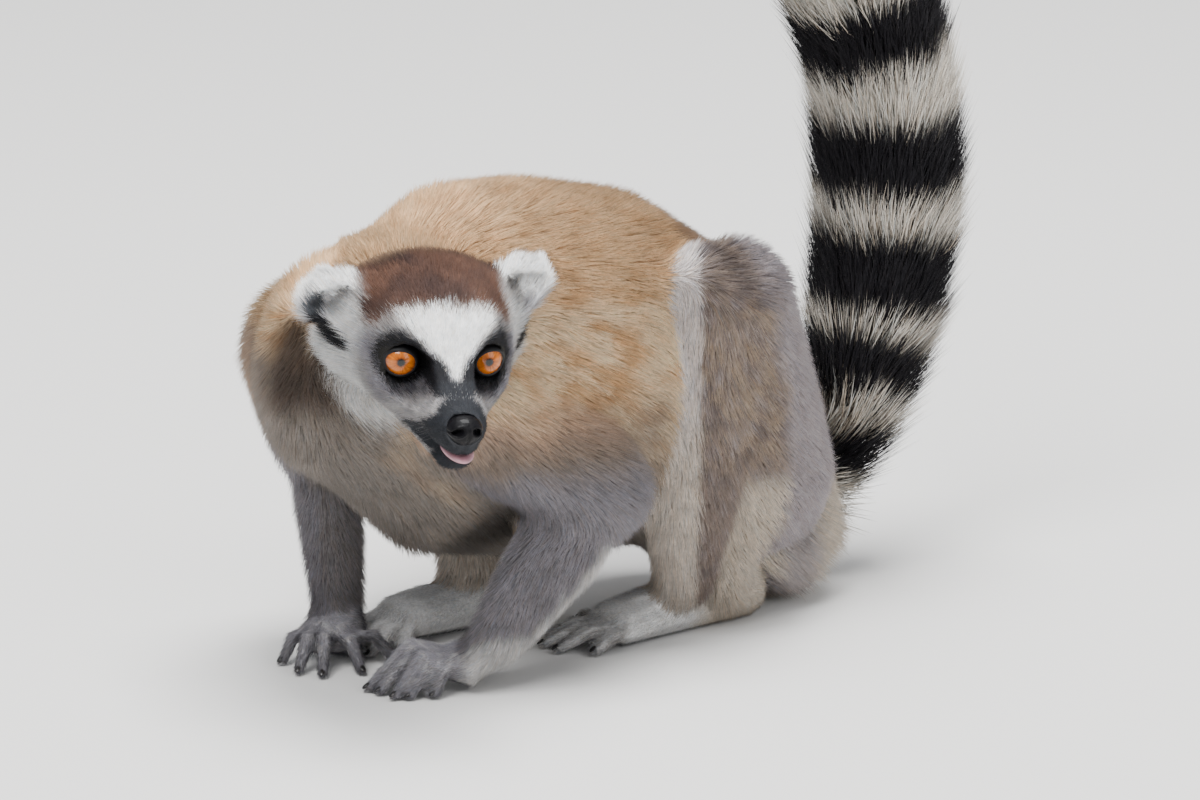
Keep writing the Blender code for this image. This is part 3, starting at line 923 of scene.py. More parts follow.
@dataclass
class Skin:
    """The animal's one skin, with the lie of its hair.

    Voxel is the size of its first faces, grow is how far the solids are swollen so that the gaps
    between them close, limit is the most triangles of the finished mesh, hollows are places where
    it is drawn in, each with its reach and depth, and pads fill the folds that hair bridges: one
    at the thigh and one behind each ear. Levelling is how many times the coat's depth is averaged
    and smoothing how many times the solids' facets are. Yields is how strongly the paws, ears and
    jaw, the face, and the rest give way to that. Steps is in how many it moves in, ground the
    height of its lowest point, outside the share of the coat's depth at which its colours are
    taken, and shade how much of their light is left under the hair.
    """

    places: Places
    voxel: float = 1.6
    grow: float = 0.25
    limit: int = 175000
    hollows: tuple[tuple[Spot, Spot, float], ...] = (((76, 34, 176), (24, 26, 22), 7.0),)
    pads: tuple[tuple[str, Spot, Spot], ...] = (("thigh_left", (39, 50, 32), (10, 12, 24)),)
    ear_pad: Spot = (-38.5, 42.5, 17.0)
    ear_pad_radius: float = 7.0
    levelling: int = 25
    smoothing: int = 22
    yields: Spot = (0.15, 0.4, 1.0)
    steps: int = 5
    ground: float = 0.5
    outside: float = 0.8
    shade: float = 0.75
    mesh: bpy.types.Mesh = field(init=False)
    surface: Surface = field(init=False)
    nodes: Array = field(init=False)
    depth: Array = field(init=False)
    flow: Array = field(init=False)
    normals: Array = field(init=False)

    def solids(self) -> tuple[bmesh.types.BMesh, BVHTree]:
        """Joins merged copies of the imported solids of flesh.

        Returns:
            The bmesh, each face marked with its part's number, and a tree of its faces.
        """
        joined = bmesh.new()
        for number, name in enumerate(NODES):
            before = len(joined.faces)
            joined.from_mesh(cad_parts[name].data)
            joined.faces.ensure_lookup_table()
            for face in joined.faces[before:]:
                face.material_index = number
        bmesh.ops.remove_doubles(joined, verts=joined.verts, dist=0.01 * MM)
        forward, left, up = self.ear_pad
        ears = self.places.from_head(np.array([(forward, left, up), (forward, -left, up)]))
        behind = [(name, ear, (self.ear_pad_radius,) * 3) for name, ear in zip(both("ear"), ears)]
        for name, place, radii in (*self.pads, *behind):
            size = Matrix.Diagonal((*(radius * MM for radius in radii), 1))
            matrix = Matrix.Translation(self.places.in_world(place)) @ size
            made = bmesh.ops.create_icosphere(joined, subdivisions=3, radius=1.0, matrix=matrix)
            for face in {face for vert in made["verts"] for face in vert.link_faces}:
                face.material_index = NODES.index(name)
        joined.normal_update()
        for vert in joined.verts:
            vert.co += vert.normal * self.grow * MM
        return joined, BVHTree.FromBMesh(joined)

    def build(self) -> None:
        """Makes the surface, moves it in by the coat's depth and shapes the face."""
        joined, tree = self.solids()
        joined.faces.ensure_lookup_table()
        owners = [face.material_index for face in joined.faces]
        mesh = bpy.data.meshes.new("solids")
        joined.to_mesh(mesh)
        joined.free()
        lump = added("solids", mesh)
        remesh = lump.modifiers.new("remesh", "REMESH")
        remesh.mode = "VOXEL"
        remesh.voxel_size = self.voxel * MM
        self.mesh = evaluated(lump)
        bpy.data.objects.remove(lump)
        self.surface = Surface.of(self.mesh, self.places)
        self.nodes = np.array([owners[tree.find_nearest(vert.co)[2]] for vert in self.mesh.vertices])
        log.info("skin: %d points", len(self.surface.points))
        self.shrink()
        self.settle_flow()

    def shrink(self) -> None:
        """Smooths the solids' facets away and moves the surface in by the coat's depth."""
        surface = self.surface
        head = self.places.to_head(surface.points)
        on_head = on_parts(self.nodes, "head")
        depth = np.where(on_head, Face.depth(head), trait(self.nodes, "depth"))
        depth = depth * (1 - 0.6 * tail_end(surface.points))
        self.depth = surface.spread(depth[:, None], self.levelling)
        small = on_parts(self.nodes, "jaw", *both("hand"), *both("foot"), *both("ear"))
        face = on_head & (head[:, 0] > -20)
        firm, fair, soft = self.yields
        share = surface.spread(np.where(small, firm, np.where(face, fair, soft))[:, None], 6)
        keep = surface.spread(np.where(small | face, 1.0, 0.0)[:, None], 8)
        surface.points = self.smoothed(self.smoothing, share, keep)
        for _ in range(self.steps):
            surface.points = surface.points - surface.normals() * self.depth / self.steps
            surface.points = self.smoothed(2, share, keep)
        for place, radii, deep in self.hollows:
            inward = deep * ease(1, 0.1, reach(surface.points, place, radii))
            surface.points = surface.points - surface.normals() * inward[:, None]
        surface.points = Face(self.places).shape(surface.points, self.nodes)
        surface.points[:, 2] = np.maximum(surface.points[:, 2], self.ground)
        self.normals = unit(surface.spread(surface.normals(), 2))

    def smoothed(self, rounds: int, share: Array, keep: Array) -> Array:
        """Smooths the surface's points.

        Args:
            rounds: How many times each point moves to its neighbours and back out.
            share: How strongly each point moves.
            keep: 1 where the form's size is kept, 0 where it may draw in.

        Returns:
            The new places.
        """
        points = self.surface.points
        for _ in range(rounds):
            points = self.surface.spread(points, 1, 0.5 * share)
            points = self.surface.spread(points, 1, -0.52 * share * keep)
        return points

    def settle_flow(self) -> None:
        """Lays the hair's direction over the surface."""
        points = self.surface.points
        flow = np.zeros_like(points)
        for number, name in enumerate(NODES):
            chosen = self.nodes == number
            if name in PAWS:
                flow[chosen] = PAWS[name].nearest(points[chosen])[2]
            elif name in LIES:
                flow[chosen] = LIES[name]
            elif name.startswith("tail"):
                flow[chosen] = tail_place(points[chosen])[1]
            else:
                flow[chosen] = Face(self.places).lie(points[chosen], name)
        flow = unit(flow)
        knee = on_parts(self.nodes, "thigh_left", "shank_left")
        flow[:, 1] += np.where(knee, 1.6 * ease(150, 176, points[:, 2]), 0)
        flow = unit(flow)
        for _ in range(3):
            flow = unit(self.surface.spread(self.flattened(flow), 7))
        self.flow = self.flattened(flow)

    def flattened(self, flow: Array) -> Array:
        """Turns directions into the skin's plane."""
        return unit(flow - self.normals * np.sum(flow * self.normals, axis=1)[:, None])

    def finish(self, material: bpy.types.Material) -> None:
        """Thins the hidden part of the mesh, colours it and makes it the piece.

        Args:
            material: The skin's material.
        """
        world = self.places.to_world(self.surface.points)
        self.mesh.vertices.foreach_set("co", world.ravel())
        self.mesh.update()
        skin = added("skin", self.mesh)
        skin.data = self.thinned(skin)
        bpy.data.meshes.remove(self.mesh)
        tree = KDTree(len(world))
        for number, place in enumerate(world):
            tree.insert(place, number)
        tree.balance()
        nearest = np.array([tree.find(vert.co)[1] for vert in skin.data.vertices])
        drawn = self.places.from_world(np.array([vert.co for vert in skin.data.vertices]))
        shown = drawn + self.normals[nearest] * self.depth[nearest] * self.outside
        rows = colours(self.places, shown, self.normals[nearest], self.nodes[nearest]) * self.shade
        rows = mix(rows, INK["lid"], ease(13.5, 11.5, Face.near_eye(self.places.to_head(drawn))))
        paint(skin.data, rows)
        skin.data.shade_smooth()
        skin.data.materials.clear()
        skin.data.materials.append(material)
        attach(skin, "root")
        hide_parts(*NODES)
        log.info("skin: %d triangles", sum(len(face.vertices) - 2 for face in skin.data.polygons))

    def thinned(self, skin: bpy.types.Object) -> bpy.types.Mesh:
        """Gives a thinner mesh of the skin, which keeps nearly all of the head's triangles.

        Args:
            skin: The skin's object, without modifiers before and after.

        Returns:
            The new mesh.
        """
        fine = on_parts(self.nodes, "head", "jaw", *both("ear"))
        group = skin.vertex_groups.new(name="coarse")
        group.add(np.flatnonzero(~fine).tolist(), 1.0, "REPLACE")
        group.add(np.flatnonzero(fine).tolist(), 0.05, "REPLACE")
        thin = skin.modifiers.new("thin", "DECIMATE")
        thin.vertex_group = "coarse"
        thin.ratio = min(1.0, self.limit / len(self.surface.faces))
        mesh = evaluated(skin)
        skin.modifiers.clear()
        skin.vertex_groups.clear()
        return mesh


@dataclass
class Face:
    """The head's fine shape and hair. Its methods take rows of (forward, left, up) in the head."""

    places: Places
    eye_radius: float = 7.8
    eye_splay: float = math.radians(16)

    @staticmethod
    def near_eye(head: Array) -> Array:
        """Gives the distance to the nearer eye's middle."""
        mirrored = np.abs(head * np.array([0, 1, 0])) + head * np.array([1, 0, 1])
        return reach(mirrored, Places.eye)

    @staticmethod
    def depth(head: Array) -> Array:
        """Gives the coat's depth: least on the muzzle and round the eyes, most on the ruff."""
        deep = 0.7 + 1.9 * ease(22, -40, head[:, 0])
        return deep * (0.35 + 0.65 * ease(10, 17, Face.near_eye(head)))

    @staticmethod
    def length(head: Array) -> Array:
        """Gives the tufts' length over the head.

        Args:
            head: Places in the head.

        Returns:
            One length for each place.
        """
        ruff = 5 * ease(-12, -34, head[:, 0]) * ease(2, -12, head[:, 2])
        long = 1.9 + 5.6 * ease(22, -40, head[:, 0]) + ruff
        return long * (0.45 + 0.55 * ease(9, 16, Face.near_eye(head)))

    def lie(self, points: Array, name: str) -> Array:
        """Gives the hair's direction on the head, jaw and ears.

        Args:
            points: Drawn places.
            name: The part.

        Returns:
            Directions in the drawn frame, one a row.
        """
        head = self.places.to_head(points)
        if name == "head":
            rows = head - np.array([36, 0, -8])
            rows[:, 2] += np.where(head[:, 0] > -10, 6, 0)
        else:
            source = {"jaw": (40, 0, -26), "ear_left": (-30, 30, -6), "ear_right": (-30, -30, -6)}[name]
            rows = head - np.array(source)
        return unit(rows) @ self.places.axes.T

    def shape(self, points: Array, nodes: Array) -> Array:
        """Shapes the ears, mouth, cheeks, orbits, lips, nose and brow.

        Args:
            points: Drawn places of the whole skin.
            nodes: The number of each point's part.

        Returns:
            The new places.
        """
        near = on_parts(nodes, "head", "jaw")
        ears = on_parts(nodes, *both("ear"))
        head = self.places.to_head(points)
        self.shape_ears(head, ears)
        self.shape_mouth(head, on_parts(nodes, "jaw"))
        self.narrow_cheeks(head, near)
        for sign in (1, -1):
            head = np.where(near[:, None], self.orbit(head, sign), head)
            pad = reach(head, (23, sign * 8.5, -20), (8, 6, 6))
            swell = np.where(near, ease(1.3, 0.2, pad), 0)
            head = head + swell[:, None] * np.array([0.1, sign * 1.1, -0.2])
        head = self.hug_nose(head, near)
        forward, side, up = head[:, 0], np.abs(head[:, 1]), head[:, 2]
        groove = ease(1.6, 0.3, side) * ease(27, 31, forward) * ease(-26.5, -24, up)
        head[:, 0] -= np.where(near, groove * 0.8, 0)
        brow = ease(9, 4, np.abs(up - 11)) * ease(36, 26, side) * ease(-16, -6, forward)
        head[:, 0] += np.where(near, brow * 0.8 * ease(4, 12, side), 0)
        return np.where((near | ears)[:, None], self.places.from_head(head), points)

    @staticmethod
    def shape_ears(head: Array, ears: Array) -> None:
        """Draws the ears' outer part in place to the head, the left more than the right.

        Args:
            head: Places in the head, which are changed.
            ears: Which of them are on the ears.
        """
        out = np.where(ears, ease(32, 44, np.abs(head[:, 1])), 0)
        draw = np.where(head[:, 1] > 0, 0.18, 0.03)
        head[:, 1] += np.sign(head[:, 1]) * (33 - np.abs(head[:, 1])) * draw * out
        head[:, 2] += (14 - head[:, 2]) * 0.14 * out

    @staticmethod
    def shape_mouth(head: Array, jaw: Array) -> None:
        """Draws the jaw's underside up in place.

        Args:
            head: Places in the head, which are changed.
            jaw: Which of them are on the jaw.
        """
        edge = np.interp(head[:, 0], (0, 12, 21, 27), (-27.9, -29.6, -31.0, -36))
        under = np.where(jaw, ease(-8, 2, head[:, 0]) * 0.45, 0)
        head[:, 2] += under * np.maximum(edge - head[:, 2], 0)

    @staticmethod
    def narrow_cheeks(head: Array, near: Array) -> None:
        """Draws the cheeks in place towards the head's middle.

        Args:
            head: Places in the head, which are changed.
            near: Which of them are on the head or jaw.
        """
        slim = 1 - 0.2 * ease(-36, -18, head[:, 0]) * ease(24, 6, head[:, 0]) * near
        side = np.abs(head[:, 1])
        head[:, 1] *= np.where(near & (side > 15), 15 + (side - 15) * slim, side) / np.maximum(side, 1e-6)

    @staticmethod
    def hug_nose(head: Array, near: Array) -> Array:
        """Draws the skin round the nose against its pad.

        Args:
            head: Places in the head.
            near: Which of them are on the head or jaw.

        Returns:
            The new places.
        """
        middle = np.array(Nose.centre)
        away = np.linalg.norm((head - middle) / (np.array(Nose.radii) + 0.15), axis=1)
        collar = np.where(near & (away > 1), ease(22, 31, head[:, 0]) * ease(1.9, 1.3, away), 0) * 0.75
        collar = collar * ease(-23.5, -20, head[:, 2])
        return head + ((1 / np.maximum(away, 1) - 1) * collar)[:, None] * (head - middle)

    def orbit(self, head: Array, sign: int) -> Array:
        """Draws the skin in against one eyeball, and behind it where the eye looks out.

        Args:
            head: Places in the head.
            sign: 1 for the left eye, -1 for the right.

        Returns:
            The new places.
        """
        middle = np.array(Places.eye) * np.array([1, sign, 1])
        axis = np.array([math.cos(self.eye_splay), sign * math.sin(self.eye_splay), 0])
        offset = head - middle
        away = np.linalg.norm(offset, axis=1)
        angle = np.degrees(np.arccos(np.clip(unit(offset) @ axis, -1, 1)))
        snug = self.eye_radius + 0.5
        pull = ease(13.5, 9, away) * 0.92
        wanted = np.where(away > snug, away + (snug - away) * pull, snug)
        wanted = wanted + (4.5 - wanted) * ease(56, 48, angle)
        return np.where((away < 14)[:, None], middle + unit(offset) * wanted[:, None], head)


# The coat


@dataclass
class Roots:
    """Where the tufts of a coat piece grow, one a row."""

    points: Array
    normals: Array
    flow: Array
    nodes: Array


# The triangles of each shape of tuft, its points' places in its patch of the OFBake map, and how
# much darker or lighter than the coat they are painted, as shade deep in the coat and light at its
# outside
TRIANGLES = {
    Tuft.STRAIGHT: ((1, 0, 3), (0, 2, 3), (2, 1, 3)),
    Tuft.BENT: ((1, 2, 0), (2, 1, 4), (3, 1, 0), (2, 3, 0), (1, 3, 4), (3, 2, 4)),
}
SPOTS = {
    Tuft.STRAIGHT: ((-1, -1), (1, -1), (0, -1), (0, 1)),
    Tuft.BENT: ((0, -1), (-1, 0), (1, 0), (0, 0.3), (0, 1)),
}
SHADES = {Tuft.STRAIGHT: (-2.5, -2.5, -2, 1.2), Tuft.BENT: (-3, -1, -1, -0.4, 1)}


@dataclass
class Coat:
    """The coat of tufts over the skin.

    Share is how many of the tufts grow. Patch is half a tuft's patch of the OFBake map. Sunk is
    how deep a root lies in the skin, ground the height of the lowest tips, outside the share of a
    tuft at which its colour is taken, and stray how far beside it.
    """

    places: Places
    skin: Skin
    share: float = 1.0
    patch: float = 0.0015
    sunk: float = 0.4
    ground: float = 0.3
    outside: float = 0.6
    stray: float = 0.85

    def grow(self, material: bpy.types.Material) -> None:
        """Grows every coat piece in the material.

        Args:
            material: The coat's material.
        """
        for number, piece in enumerate(PIECES):
            rng = np.random.default_rng(100 + number)
            roots = self.roots(piece, rng)
            obj = added(piece.name, self.tufts(piece, roots, rng))
            obj.data.materials.append(material)
            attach(obj, "root")
            count = len(roots.points)
            log.info("%s: %d tufts, %d triangles", piece.name, count, count * piece.tuft.value)

    def roots(self, piece: Piece, rng: np.random.Generator) -> Roots:
        """Scatters roots over the piece's parts, evenly by area.

        Args:
            piece: The coat piece.
            rng: The source of chance.

        Returns:
            The roots.
        """
        surface = self.skin.surface
        faces = surface.faces[on_parts(self.skin.nodes[surface.faces[:, 0]], *piece.nodes)]
        first, second, third = (surface.points[corner] for corner in faces.T)
        area = np.linalg.norm(np.cross(second - first, third - first), axis=1) / 2
        counts = trait(self.skin.nodes[faces[:, 0]], "count") * self.density(faces)
        total = np.cumsum(area * counts * self.share)
        count = int(total[-1])
        picks = np.searchsorted(total, np.arange(count) + rng.random(count))
        rows = faces[np.clip(picks, 0, len(faces) - 1)]
        along, across = rng.random(count), rng.random(count)
        beyond = along + across > 1
        along, across = np.where(beyond, 1 - along, along), np.where(beyond, 1 - across, across)
        weights = (1 - along - across, along, across)

        def blend(values: Array) -> Array:
            """Mixes a value of the three corners."""
            return sum(values[corner] * weight[:, None] for corner, weight in zip(rows.T, weights))

        return Roots(
            blend(surface.points),
            unit(blend(self.skin.normals)),
            unit(blend(self.skin.flow)),
            self.skin.nodes[rows[:, 0]],
        )

    def density(self, faces: Array) -> Array:
        """Gives how thick the coat is by place, which is none on the eyes, nose, mouth and soles.

        Args:
            faces: The triangles.

        Returns:
            A share for each triangle.
        """
        middle = self.skin.surface.points[faces].mean(axis=1)
        head = self.places.to_head(middle)
        forward, left, up = head.T
        share = ease(8.4, 9.6, Face.near_eye(head)) * (0.7 + 0.6 * ease(-35, 0, forward))
        share = share * ease(0.95, 1.1, reach(head, (34, 0, -14.5), (5, 8, 6.5)))
        mouth = (np.abs(up + 27.6 + 0.04 * forward) < 1.9) & (forward > -4)
        share = share * np.where(mouth & (np.abs(left) < 20), 0, 1)
        sole = middle[:, 2] < 1.0
        return share * np.where(sole, 0, 1)

    def tufts(self, piece: Piece, roots: Roots, rng: np.random.Generator) -> bpy.types.Mesh:
        """Makes the mesh of a coat piece, coloured and with its OFBake map.

        Args:
            piece: The coat piece.
            roots: Its roots.
            rng: The source of chance.

        Returns:
            The mesh.
        """
        far = tail_end(roots.points) * on_parts(roots.nodes, "tail_6")
        length, width = self.sizes(roots, far)
        length = length * self.varied(0.16, len(length), rng)
        lift = np.radians(trait(roots.nodes, "lift") * self.varied(0.2, len(length), rng))
        side = np.cross(roots.normals, roots.flow)
        sway = trait(roots.nodes, "rough") * rng.standard_normal(len(length))
        sway = sway + 0.22 * noise(roots.points, 14, 21)
        flow = unit(roots.flow + side * sway[:, None])
        side = unit(np.cross(roots.normals, flow))
        way = np.cos(lift)[:, None] * flow + np.sin(lift)[:, None] * roots.normals
        way = unit(mix(way, tail_place(roots.points)[1], 0.6 * far))
        tip = self.gathered(roots.points + length[:, None] * way, roots)
        tip[:, 2] = np.maximum(tip[:, 2], self.ground)
        base = roots.points - roots.normals * self.sunk
        rise = roots.normals * (width * 0.26)[:, None]
        half = side * (width * 0.5)[:, None]
        if piece.tuft is Tuft.BENT:
            belly = base + (tip - base) * 0.45 + roots.normals * (length * 0.09)[:, None]
            parts = (base, belly + half, belly - half, belly + rise, tip)
        else:
            parts = (base + half, base - half, base + rise, tip)
        shown = roots.points + (tip - roots.points) * self.outside
        rows = self.shades(piece, roots, shown, rng)
        mesh = self.mesh_of(piece, np.stack(parts, axis=1), self.unwrap(piece, roots))
        paint(mesh, rows.reshape(-1, 3))
        return mesh

    @staticmethod
    def varied(share: float, count: int, rng: np.random.Generator) -> Array:
        """Gives a factor near 1 for each tuft, which strays by a share."""
        return 1 + share * rng.standard_normal(count).clip(-2, 2)

    def sizes(self, roots: Roots, far: Array) -> tuple[Array, Array]:
        """Gives each tuft's length and width before chance.

        Args:
            roots: The roots.
            far: How near each is to the tail's tip.

        Returns:
            The lengths and the widths.
        """
        on_head = on_parts(roots.nodes, "head")
        head = self.places.to_head(roots.points)
        length = np.where(on_head, Face.length(head), trait(roots.nodes, "length"))
        seat = ease(64, 40, roots.points[:, 2]) * ease(36, 56, roots.points[:, 1])
        length = np.where(on_parts(roots.nodes, "trunk"), length * (1 + 0.8 * seat), length)
        length = length * (1 - 0.5 * far)
        return length, np.where(on_head, 0.25 + 0.018 * length, trait(roots.nodes, "width"))

    @staticmethod
    def gathered(tips: Array, roots: Roots) -> Array:
        """Leans the tips towards the middle of their clump.

        Args:
            tips: The tips of the tufts.
            roots: Their roots.

        Returns:
            The new tips.
        """
        waves = np.stack([noise(roots.points, 11, seed) for seed in (31, 32, 33)], axis=1)
        warped = roots.points + waves * 4
        cells = np.floor(warped / trait(roots.nodes, "clump")[:, None]).astype(np.int64)
        _, number = np.unique(cells @ np.array([1, 4001, 16008001]), return_inverse=True)
        number = number.reshape(-1)
        size = np.bincount(number)
        middle = np.stack([np.bincount(number, weights=tips[:, i]) / size for i in range(3)], axis=1)
        return tips + (middle[number] - tips) * trait(roots.nodes, "gather")[:, None]

    def shades(self, piece: Piece, roots: Roots, shown: Array, rng: np.random.Generator) -> Array:
        """Colours the tufts: darker at the root and lighter at the tip, as painted shade and light through
        the coat's depth, and no two the same.

        Args:
            piece: The coat piece.
            roots: The roots.
            shown: The place on the coat's outside where each tuft is seen.
            rng: The source of chance.

        Returns:
            A colour for each point of each tuft.
        """
        nudge = shown + self.stray * rng.standard_normal(shown.shape)
        base = colours(self.places, nudge, roots.normals, roots.nodes)
        bright = self.varied(0.1, len(base), rng)
        warm = 0.04 * rng.standard_normal(len(base))
        tint = np.stack([1 + warm, np.ones(len(base)), 1 - warm], axis=1)
        bright = bright * (1 + 0.16 * noise(roots.points, 3.2, 23) + 0.1 * noise(roots.points, 7, 24))
        base = base * bright[:, None] * tint
        # painted shade and light: roots darker, deep in the coat, and tips lighter, at its outside
        steps = trait(roots.nodes, "tick")[:, None] * np.array(SHADES[piece.tuft])[None, :]
        return base[:, None, :] * (1 + steps)[:, :, None]

    @staticmethod
    def unwrap(piece: Piece, roots: Roots) -> Array:
        """Unrolls each part about its own long axis into a strip of the square.

        Args:
            piece: The coat piece.
            roots: Its roots.

        Returns:
            A place in the square for each root.
        """
        rows = np.zeros((len(roots.points), 2))
        for strip, name in enumerate(piece.nodes):
            chosen = on_parts(roots.nodes, name)
            if not chosen.any():
                continue
            local = roots.points[chosen] - roots.points[chosen].mean(axis=0)
            axes = np.linalg.svd(local[:: max(1, len(local) // 2000)], full_matrices=False)[2]
            along, wide, deep = (local @ axes.T).T
            turn = np.arctan2(deep, wide) / (2 * math.pi) + 0.5
            way = (along - along.min()) / max(np.ptp(along), 1e-6)
            rows[chosen, 0] = (strip + 0.01 + 0.98 * turn) / len(piece.nodes)
            rows[chosen, 1] = 0.01 + 0.98 * way
        return rows

    def mesh_of(self, piece: Piece, points: Array, places: Array) -> bpy.types.Mesh:
        """Joins all tufts of a piece in one mesh.

        Args:
            piece: The coat piece.
            points: The tufts' points, as (tuft, point, axis).
            places: Each tuft's place in the OFBake map.

        Returns:
            The mesh.
        """
        corners = np.array(TRIANGLES[piece.tuft]).ravel()
        count, per_tuft = points.shape[:2]
        loops = (corners[None, :] + per_tuft * np.arange(count)[:, None]).ravel()
        starts = np.arange(0, len(loops), 3)
        mesh = bpy.data.meshes.new(piece.name)
        mesh.vertices.add(count * per_tuft)
        mesh.vertices.foreach_set("co", self.places.to_world(points.reshape(-1, 3)).ravel())
        mesh.loops.add(len(loops))
        mesh.loops.foreach_set("vertex_index", loops.astype(np.int32))
        mesh.polygons.add(len(starts))
        mesh.polygons.foreach_set("loop_start", starts.astype(np.int32))
        mesh.update(calc_edges=True)
        layer = mesh.uv_layers.new(name="OFBake")
        spot = np.array(SPOTS[piece.tuft])[corners] * self.patch
        layer.uv.foreach_set("vector", (places[:, None] + spot[None]).astype(np.float32).ravel())
        mesh.shade_smooth()
        return mesh


# Finishes


class Nodes:
    """A short way to write a material's nodes. Spaces in inputs' names are written as underlines."""

    def __init__(self, name: str, **inputs: float | tuple) -> None:
        """Starts a material.

        Args:
            name: Its name.
            inputs: The inputs of its Principled shader by name.
        """
        self.material = bpy.data.materials.new(name)
        self.material.use_nodes = True
        self.tree = self.material.node_tree
        self.shader = self.tree.nodes["Principled BSDF"]
        self.set_inputs(self.shader, inputs)

    @staticmethod
    def set_inputs(node: bpy.types.Node, inputs: dict[str, float | tuple]) -> None:
        """Sets a node's inputs."""
        for name, value in inputs.items():
            node.inputs[name.replace("_", " ")].default_value = value

    def add(self, kind: str, **inputs: float | tuple) -> bpy.types.Node:
        """Adds a node and sets its inputs.

        Args:
            kind: The node's type.
            inputs: Its inputs' values by name.

        Returns:
            The node.
        """
        node = self.tree.nodes.new(kind)
        self.set_inputs(node, inputs)
        return node

    def link(self, output: bpy.types.NodeSocket, target: bpy.types.NodeSocket) -> None:
        """Joins two sockets."""
        self.tree.links.new(output, target)

    def base(self, output: bpy.types.NodeSocket) -> None:
        """Gives the shader its base colour."""
        self.link(output, self.shader.inputs["Base Color"])

    def attribute(self, name: str) -> bpy.types.Node:
        """Adds a node that reads a stored attribute.

        Args:
            name: The attribute's name.

        Returns:
            The node.
        """
        node = self.add("ShaderNodeAttribute")
        node.attribute_name = name
        return node

    def noise(self, scale: float, detail: float) -> bpy.types.NodeSocket:
        """Adds noise over the object's own coordinates and gives its output.

        Args:
            scale: The noise's scale.
            detail: Its detail.

        Returns:
            The noise's output.
        """
        coordinates = self.add("ShaderNodeTexCoord")
        node = self.add("ShaderNodeTexNoise", Scale=scale, Detail=detail)
        self.link(coordinates.outputs["Object"], node.inputs["Vector"])
        return node.outputs["Fac"]

    def scaled(self, value: bpy.types.NodeSocket, low: float, high: float) -> bpy.types.NodeSocket:
        """Maps 0.3 to 0.7 onto a range.

        Args:
            value: The output to map.
            low: What 0.3 becomes.
            high: What 0.7 becomes.

        Returns:
            The mapped output.
        """
        node = self.add("ShaderNodeMapRange", From_Min=0.3, From_Max=0.7, To_Min=low, To_Max=high)
        self.link(value, node.inputs["Value"])
        return node.outputs["Result"]

    def tinted(self, colour: bpy.types.NodeSocket, value: bpy.types.NodeSocket) -> bpy.types.NodeSocket:
        """Multiplies a colour by a value.

        Args:
            colour: The colour's output.
            value: The value's output.

        Returns:
            The product's output.
        """
        node = self.add("ShaderNodeVectorMath")
        node.operation = "MULTIPLY"
        self.link(colour, node.inputs[0])
        self.link(value, node.inputs[1])
        return node.outputs[0]

    def ramp(self, stops: tuple[tuple[float, tuple], ...]) -> bpy.types.Node:
        """Adds a colour ramp with these stops.

        Args:
            stops: Each a place and a linear colour.

        Returns:
            The node.
        """
        node = self.add("ShaderNodeValToRGB")
        elements = node.color_ramp.elements
        while len(elements) < len(stops):
            elements.new(0.5)
        for element, (place, colour) in zip(elements, stops):
            element.position = place
            element.color = (*colour, 1)
        return node

    def bump(self, height: bpy.types.NodeSocket, strength: float, distance: float) -> None:
        """Gives the shader a bump of the height.

        Args:
            height: The height's output.
            strength: How strong the bump is.
            distance: How deep it is, in metres.
        """
        node = self.add("ShaderNodeBump", Strength=strength, Distance=distance)
        self.link(height, node.inputs["Height"])
        self.link(node.outputs["Normal"], self.shader.inputs["Normal"])


@dataclass(frozen=True)
class Haired:
    """The finish of the coat and of the skin below it: their stored colours, uneven and soft.

    Grain is the scale and detail of the unevenness, and span its darkest and lightest. Bump is
    the scale, strength and depth of the skin's short close hair.
    """

    name: str
    roughness: float
    shine: float
    grain: tuple[float, float]
    span: tuple[float, float]
    bump: Spot | None = None

    def material(self) -> bpy.types.Material:
        """Makes the material.

        Returns:
            The material.
        """
        nodes = Nodes(self.name, Roughness=self.roughness, Specular_IOR_Level=self.shine)
        value = nodes.scaled(nodes.noise(*self.grain), *self.span)
        nodes.base(nodes.tinted(nodes.attribute("coat").outputs["Color"], value))
        if self.bump:
            scale, strength, distance = self.bump
            nodes.bump(nodes.noise(scale, 3), strength, distance)
        return nodes.material


@dataclass(frozen=True)
class Bare:
    """The finish of a bare part: one colour, mottled, with fine grain."""

    name: str
    colour: str
    roughness: float
    grain: float
    strength: float
    distance: float = 0.0002
    coat: float = 0.0
    shine: float = 0.5

    def material(self) -> bpy.types.Material:
        """Makes the material.

        Returns:
            The material.
        """
        nodes = Nodes(self.name, Roughness=self.roughness, Specular_IOR_Level=self.shine,
                      Coat_Weight=self.coat, Coat_Roughness=0.08)
        base = linear(self.colour)
        ramp = nodes.ramp(((0.3, base * 0.7), (0.72, np.minimum(base * 1.35, 1))))
        nodes.link(nodes.noise(260, 3), ramp.inputs["Fac"])
        nodes.base(ramp.outputs["Color"])
        nodes.bump(nodes.noise(self.grain, 2), self.strength, self.distance)
        return nodes.material


